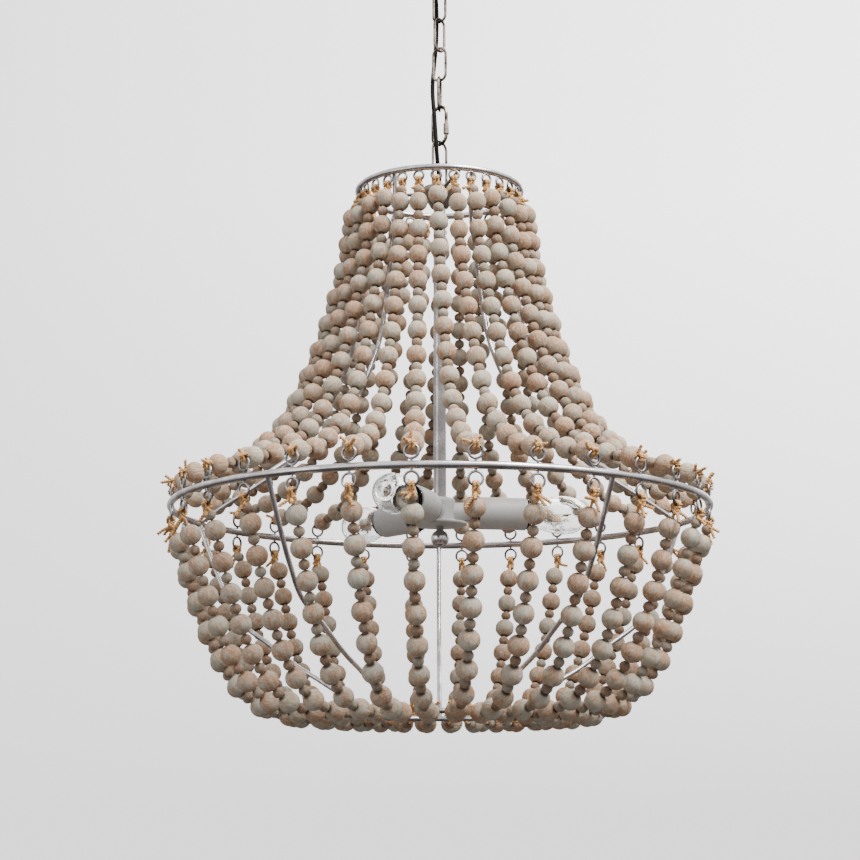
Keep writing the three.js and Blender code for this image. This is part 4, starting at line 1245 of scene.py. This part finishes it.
class MakeLamps(bpy.types.Operator):
    """Makes the lamp hub with its arms, the ball, the sockets and their sleeves"""
    bl_idname = "chandelier.make_lamps"
    bl_label = "Lamps"

    def execute(self, context):
        foot, top = (corner[2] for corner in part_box("lamp_hub"))
        self.hub(foot, top)
        self.ball(foot - GAP)
        for number, turn in enumerate(LAMP_ANGLES, start=1):
            place = pointed_outward(turn, LAMP_HEIGHT)
            self.socket(number, place)
            self.sleeve(number, place)
        return {"FINISHED"}

    def hub(self, foot, top):
        lamps = sizes().lamps
        paint = finish("lamp_paint")
        bevel, rim = 0.003, 0.0015
        body = turned("hub_body", [
            (0, foot), (lamps.dish_radius - rim, foot), (lamps.dish_radius, foot + rim),
            (lamps.dish_radius, foot + lamps.dish_height), (lamps.hub_radius, foot + lamps.dish_height),
            (lamps.hub_radius, top - bevel), (lamps.hub_radius - bevel, top), (0, top)],
            paint, steps=56, edge=0.0012)
        arm_end = lamps.start - GAP
        arms = [turned("arm", [
            (0, 0), (lamps.arm_radius, 0), (lamps.arm_radius, arm_end), (0, arm_end)],
            paint, steps=32, edge=0.0008, place=pointed_outward(turn, LAMP_HEIGHT)) for turn in LAMP_ANGLES]
        settle(joined("lamp_hub_with_arms", [body, *arms]), "fixture", ["lamp_hub"])

    def ball(self, top):
        radius = sizes().lamps.ball_radius
        neck_radius, neck_length = 0.004, 0.004
        neck_foot = top - neck_length
        centre = neck_foot - radius
        round_part = [(radius * math.sin(turn), centre - radius * math.cos(turn))
                      for turn in turns(20, math.pi)[:18]]
        knob = turned("ball", [*round_part, (neck_radius, neck_foot), (neck_radius, top), (0, top)],
                      finish("polished_steel"), steps=40)
        settle(knob, "fixture", ["finial"])

    def socket(self, number, place):
        lamps = sizes().lamps
        line_depth, line_wire = 0.0001, 0.0005
        start, front = lamps.start, lamps.start + lamps.length
        inner_start, inner_front = start + lamps.rim_length, front - lamps.rim_length
        seat = start + lamps.seat
        bore = lamps.base_radius + GAP
        shell = turned("shell", [
            (0, start), (lamps.rim_radius, start), (lamps.rim_radius, inner_start),
            (lamps.socket_radius, inner_start), (lamps.socket_radius, inner_front),
            (lamps.rim_radius, inner_front), (lamps.rim_radius, front), (bore, front), (bore, seat),
            (0, seat)], finish("socket_black"), steps=40, edge=0.0007, place=place)
        line_radius = lamps.rim_radius - line_depth
        lines = [[place @ Vector((line_radius * math.cos(turn), line_radius * math.sin(turn), depth))
                  for turn in turns(40)[:-1]]
                 for depth in (start + lamps.rim_length / 2, front - lamps.rim_length / 2)]
        bright = rods("bright_lines", lines, line_wire, finish("polished_steel"), 6, closed=True)
        settle(joined(f"socket_shell_{number}", [shell, bright]), "fixture",
               [f"lamp_socket_{number}"])

    def sleeve(self, number, place):
        lamps = sizes().lamps
        inner = lamps.socket_radius + GAP
        first = lamps.start + lamps.rim_length + GAP
        last = lamps.start + lamps.length - lamps.rim_length - GAP
        tube = turned(f"sleeve_tube_{number}", [
            (inner, first), (lamps.sleeve_radius, first), (lamps.sleeve_radius, last), (inner, last)],
            finish("lamp_paint"), edge=0.0005, place=place, closed=True)
        settle(tube, "fixture", [f"lamp_sleeve_{number}"])


class MakeBulbs(bpy.types.Operator):
    """Makes the three clear bulbs with their bases and filaments"""
    bl_idname = "chandelier.make_bulbs"
    bl_label = "Bulbs"

    def execute(self, context):
        lamps = sizes().lamps
        front = lamps.start + lamps.length
        glass_shares = [(0.0, 0.58), (0.1, 0.66), (0.22, 0.82), (0.42, 0.97), (0.6, 1.0), (0.78, 0.86),
                        (0.92, 0.52), (0.985, 0.22)]
        glass_length = lamps.tip - front
        outline = [Vector((out * lamps.glass_radius, 0, front + share * glass_length))
                   for share, out in glass_shares]
        outer = [(point.x, point.z) for point in smooth_line([*outline, Vector((0, 0, lamps.tip))], 5)]
        for number, turn in enumerate(LAMP_ANGLES, start=1):
            place = pointed_outward(turn, LAMP_HEIGHT)
            parts = [self.glass(outer, front, place), self.base(outer[0][0], front, place),
                     *self.filament(front, place)]
            settle(joined(f"clear_bulb_{number}", parts), f"bulb_{number}", [f"bulb_{number}"])
        return {"FINISHED"}

    def glass(self, outer, front, place):
        lamps = sizes().lamps
        wall = 0.0008
        half_way = front + (lamps.tip - front) / 2
        inner = [(max(radius - wall, 0),
                  height - (wall if radius < lamps.glass_radius / 2 and height > half_way else 0))
                 for radius, height in reversed(outer)]
        return turned("glass", [*outer, *inner], finish("bulb_glass"), place=place, closed=True, crease=80)

    def base(self, neck_radius, front, place):
        lamps = sizes().lamps
        threads, depth, thread_foot, thread_end = 7, 0.0009, 0.006, 0.002
        contact, contact_edge, contact_height = 0.004, 0.0055, 0.002
        shell_share, shell_height, rim = 0.8, 0.0045, 0.0004
        seat = lamps.start + lamps.seat + GAP
        steps = threads * 4
        thread = [
            (lamps.base_radius - depth * (1 - math.cos(step * math.pi / 2)) / 2,
             between(seat + thread_foot, front - thread_end, step / steps))
            for step in range(steps + 1)]
        profile = [
            (0, seat), (contact, seat), (contact_edge, seat + contact_height),
            (lamps.base_radius * shell_share, seat + shell_height), *thread, (neck_radius + rim, front),
            (0, front)]
        return turned("base", profile, finish("base_brass"), steps=40, place=place)

    def filament(self, front, place):
        """The glass mount in the bulb, its posts and hook, and the wire that zigzags between them."""
        foot_radius, waist_radius, top_radius = 0.0058, 0.0034, 0.0026
        waist, top, tip = front + 0.008, front + 0.02, front + 0.021
        mount = turned("mount", [
            (0, front), (foot_radius, front), (waist_radius, waist), (top_radius, top), (0, tip)],
            finish("bulb_glass"), steps=24, edge=0.002, place=place)

        wire, spread, drop, depth, steps = 0.0005, 0.0085, 0.009, 0.0006, 8
        foot_apart, knee_apart = 0.0012, 0.004
        hook_foot, hook_tip, hook_drop = 0.0004, 0.001, 0.008
        post_foot, knee, reach = front + 0.019, front + 0.029, front + 0.047
        lines = [
            [(side * foot_apart, 0, post_foot), (side * knee_apart, 0, knee), (side * spread, 0, reach)]
            for side in (-1, 1)]
        lines.append([(0, hook_foot, post_foot), (0, hook_tip, reach - hook_drop)])
        lines.append([(between(-spread, spread, step / steps), depth * (-1) ** step,
                       reach - (drop if step % 2 else 0)) for step in range(steps + 1)])
        wires = rods("wires", [[place @ Vector(point) for point in line] for line in lines], wire,
                     finish("filament"), 5)
        return mount, wires


class MakeBeads(bpy.types.Operator):
    """Strings the big and small beads of the bell and the basket"""
    bl_idname = "chandelier.make_beads"
    bl_label = "Beads"

    def execute(self, context):
        strings = sizes().strings
        indices = range(strings.strings)
        upper = [upper_string(index) for index in indices]
        first = self.shifted(strings.upper_first, strings.upper_pitch, UPPER_SHIFT_SHARES)
        last = [line_length(line) - strings.upper_clear for line in upper]
        self.strand("upper", upper, first, last, strings.upper_pitch / 2, strings.upper_beads, 0,
                    (strings.upper_width, strings.upper_foot_width), strings.upper_length, 3)

        lower = [lower_string(index) for index in indices]
        first = self.shifted(strings.lower_first, strings.lower_pitch, LOWER_SHIFT_SHARES)
        last = [start + (strings.lower_beads - 1) * strings.lower_pitch for start in first]
        self.strand("lower", lower, first, last, strings.lower_pitch / 2, strings.lower_beads, 1,
                    (strings.lower_width, strings.lower_width), strings.lower_length, 11)
        return {"FINISHED"}

    def shifted(self, first, pitch, shares):
        """Where each string's first big bead is, from the string's start."""
        return [first + shares[index % len(shares)] * pitch for index in range(sizes().strings.strings)]

    def strand(self, row, lines, first, last, half, beads, after, widths, long, seed):
        """One row of strings, with some small beads after the last big one."""
        strings = sizes().strings
        mesh = lines_mesh(row + "_guides", lines, values={
            "first_big": first, "last_big": last, "first_small": [at - half for at in first],
            "last_small": [at + (2 * after - 1) * half for at in last]})
        strung = grown(row + "_beads", bead_tree, mesh, {
            "Beads": beads, "Small beads": beads + after, "First width": widths[0], "Last width": widths[1],
            "Bead length": long, "Small width": strings.small_width, "Small length": strings.small_length,
            "Knot room": strings.knot_room, "Seed": seed, "Wood": finish("bead_wood"),
            "Small wood": finish("small_bead_wood")})
        settle(strung, "fixture", [f"{row}_strands_{number}" for number in range(1, 7)])


class MakeTwine(bpy.types.Operator):
    """Makes the twine through the beads, its loops, knots and cut tails"""
    bl_idname = "chandelier.make_twine"
    bl_label = "Twine"

    def execute(self, context):
        rings = sizes().rings
        strings = sizes().strings
        chance = random.Random(17)
        cores, knots, loops, tails = [], [], [], []

        def loop_round(angle_out, radius, height):
            """Two turns of twine through an eyelet, round its wire."""
            slack, beside_share = 0.0003, 0.42
            centre, out = place_at(angle_out, radius, height), outward(angle_out)
            loop_radius = rings.eyelet_wire / 2 + strings.twine / 2 + slack
            beside = UP.cross(out) * (strings.twine * beside_share)
            for way in (-1, 1):
                loops.append([centre + beside * way + out * (loop_radius * math.cos(turn))
                              + UP * (loop_radius * math.sin(turn)) for turn in turns(12)[:-1]])

        def tied_at(centre, angle_out, droop):
            """A trefoil knot at a random turn, and its two cut tails, which hang by their droop."""
            out, side = outward(angle_out), sideways(angle_out)
            spin = chance.uniform(0, 2 * math.pi)
            scale = (strings.knot - strings.twine) / 6 * chance.uniform(0.95, 1.2)
            knot = []
            for turn in turns(18)[:-1]:
                x = math.sin(turn) + 2 * math.sin(2 * turn)
                y = math.cos(turn) - 2 * math.cos(2 * turn)
                across = x * math.cos(spin) - y * math.sin(spin)
                rise = x * math.sin(spin) + y * math.cos(spin)
                knot.append(centre + (side * across + UP * rise - out * (1.2 * math.sin(3 * turn))) * scale)
            knots.append(knot)

            side = side * chance.choice((-1, 1))
            for way in (1, chance.choice((-0.6, 0.3))):
                reach = strings.tail * chance.uniform(0.55, 0.95)
                lean = chance.uniform(0.25, 0.8)
                lift = chance.uniform(-0.5, 0.4) - droop
                heading = (side * (way * lean) + out * chance.uniform(0.15, 0.8) + UP * lift).normalized()
                bend = (UP * chance.uniform(-0.5, 0.2) + side * chance.uniform(-0.4, 0.4)) * 0.6
                tails.append([centre + (heading + bend * t) * (reach * t) for t in (0, 0.25, 0.5, 0.75, 1)])

        top_rim = top_eyelet_reach() + (rings.top_eyelet - rings.eyelet_wire) / 2
        middle_rim = middle_eyelet_reach() + (rings.middle_eyelet - rings.eyelet_wire) / 2
        hang_share = 0.42  # of a knot's width, from its string's start to its middle
        hang = UP * (strings.knot * hang_share)
        outside = rings.bottom_radius + (rings.bottom_wire + strings.knot) / 2
        for index in range(strings.strings):
            step = 360 / strings.strings * index
            upper, lower = upper_string(index), lower_string(index)
            cores += [upper, lower]
            top_turn, middle_turn = rings.top_angle + step, rings.middle_angle + step
            loop_round(top_turn, rings.top_radius, TOP_HEIGHT - top_rim)
            tied_at(upper[0] - hang, top_turn, droop=0.35)
            loop_round(middle_turn, rings.middle_radius, MIDDLE_HEIGHT + middle_rim)
            run = (upper[-1] - upper[-2]).normalized()
            tied_at(upper[-1] - run * (strings.twine / 2), middle_turn, droop=-0.6)
            loop_round(middle_turn, rings.middle_radius, MIDDLE_HEIGHT - middle_rim)
            tied_at(lower[0] - hang, middle_turn, droop=0.5)
            foot = place_at(middle_turn, outside, BOTTOM_HEIGHT + strings.knot / 4)
            tied_at(foot, middle_turn, droop=-0.35)

        twine = finish("twine")
        settle(rods("string_cores", cores, strings.twine * 0.8, twine, 5), "fixture")
        values = {"Width": strings.twine, "Material": twine}
        tied = grown("ties", twine_tree, lines_mesh("ties", knots + loops, closed=True), values)
        ends = grown("tails", twine_tree, lines_mesh("tails", tails), values)
        settle(joined("knots_and_tails", [tied, ends]), "fixture")
        return {"FINISHED"}


class MakePowerCord(bpy.types.Operator):
    """Makes the power cord, one stretch for each joint of the chain that it passes"""
    bl_idname = "chandelier.make_power_cord"
    bl_label = "Power cord"

    def execute(self, context):
        route = [
            (-0.007, 0.016, -0.024), (-0.007, 0.016, -0.036), (-0.0056, 0.0125, -0.05),
            (-0.004, 0.0092, -0.064), (-0.0032, 0.0083, -0.08), (-0.0032, 0.0083, -0.096),
            (-0.0036, 0.0083, -0.112), (-0.0047, 0.0086, -0.128), (-0.0062, 0.009, -0.144),
            (-0.0075, 0.0089, -0.158), (-0.008, 0.007, -0.168), (-0.008, 0.0025, -0.178),
            (-0.0077, -0.0025, -0.187), (-0.0071, -0.006, -0.197), (-0.006, -0.0074, -0.21),
            (-0.005, -0.008, -0.225), (-0.004, -0.0088, -0.24), (-0.0033, -0.008, -0.254),
            (-0.0022, -0.005, -0.267), (-0.0009, -0.0019, -0.279), (0, 0, -0.29), (0, 0, -0.3)]
        line = smooth_line(route, 6)
        swings = [joint for joint in FRAME["joints"] if joint["type"] == "hinge"]
        levels = [joint["pos_m"][2] for joint in swings]
        cuts = [line[0].z] + [(high + low) / 2 for high, low in zip(levels, levels[1:])] + [line[-1].z]
        for number, (joint, level) in enumerate(zip(swings, levels), start=1):
            top, bottom = cuts[number - 1], cuts[number]
            inside = [i for i, point in enumerate(line) if bottom <= point.z <= top]
            stretch = line[max(inside[0] - 1, 0):min(inside[-1] + 2, len(line))]
            piece = rods(f"power_cord_stretch_{number}", [stretch], sizes().chain.cord,
                         finish("cord_black"), 14)
            if number == 1:
                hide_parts("power_cord")
            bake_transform(piece)
        return {"FINISHED"}


class ChandelierPanel(bpy.types.Panel):
    """Lists the chandelier's sizes, finishes and pieces"""
    bl_idname = "VIEW3D_PT_chandelier"
    bl_label = "Beaded chandelier"
    bl_space_type = "VIEW_3D"
    bl_region_type = "UI"
    bl_category = "Chandelier"

    def draw(self, context):
        settings = context.scene.chandelier
        for label in ("rings", "strings", "chain", "lamps", "finishes"):
            values = getattr(settings, label)
            box = self.layout.box()
            box.label(text=label.capitalize())
            for name in values.__annotations__:
                box.prop(values, name)
        for operator in OPERATORS:
            self.layout.operator(operator.bl_idname)


SETTINGS = (RingSizes, StringSizes, ChainSizes, LampSizes, Finishes, Chandelier)
OPERATORS = (
    MakeStage, MakeCeilingFitting, MakeChain, MakeQuickLink, MakeHub, MakeRings, MakeRibs, MakeLamps,
    MakeBulbs, MakeBeads, MakeTwine, MakePowerCord)


def register():
    for kind in (*SETTINGS, *OPERATORS, ChandelierPanel):
        bpy.utils.register_class(kind)
    bpy.types.Scene.chandelier = PointerProperty(type=Chandelier)


def unregister():
    del bpy.types.Scene.chandelier
    for kind in reversed((*SETTINGS, *OPERATORS, ChandelierPanel)):
        bpy.utils.unregister_class(kind)


def main():
    register()
    for operator in OPERATORS:
        getattr(bpy.ops.chandelier, operator.bl_idname.split(".")[1])()


if __name__ == "__main__":
    main()
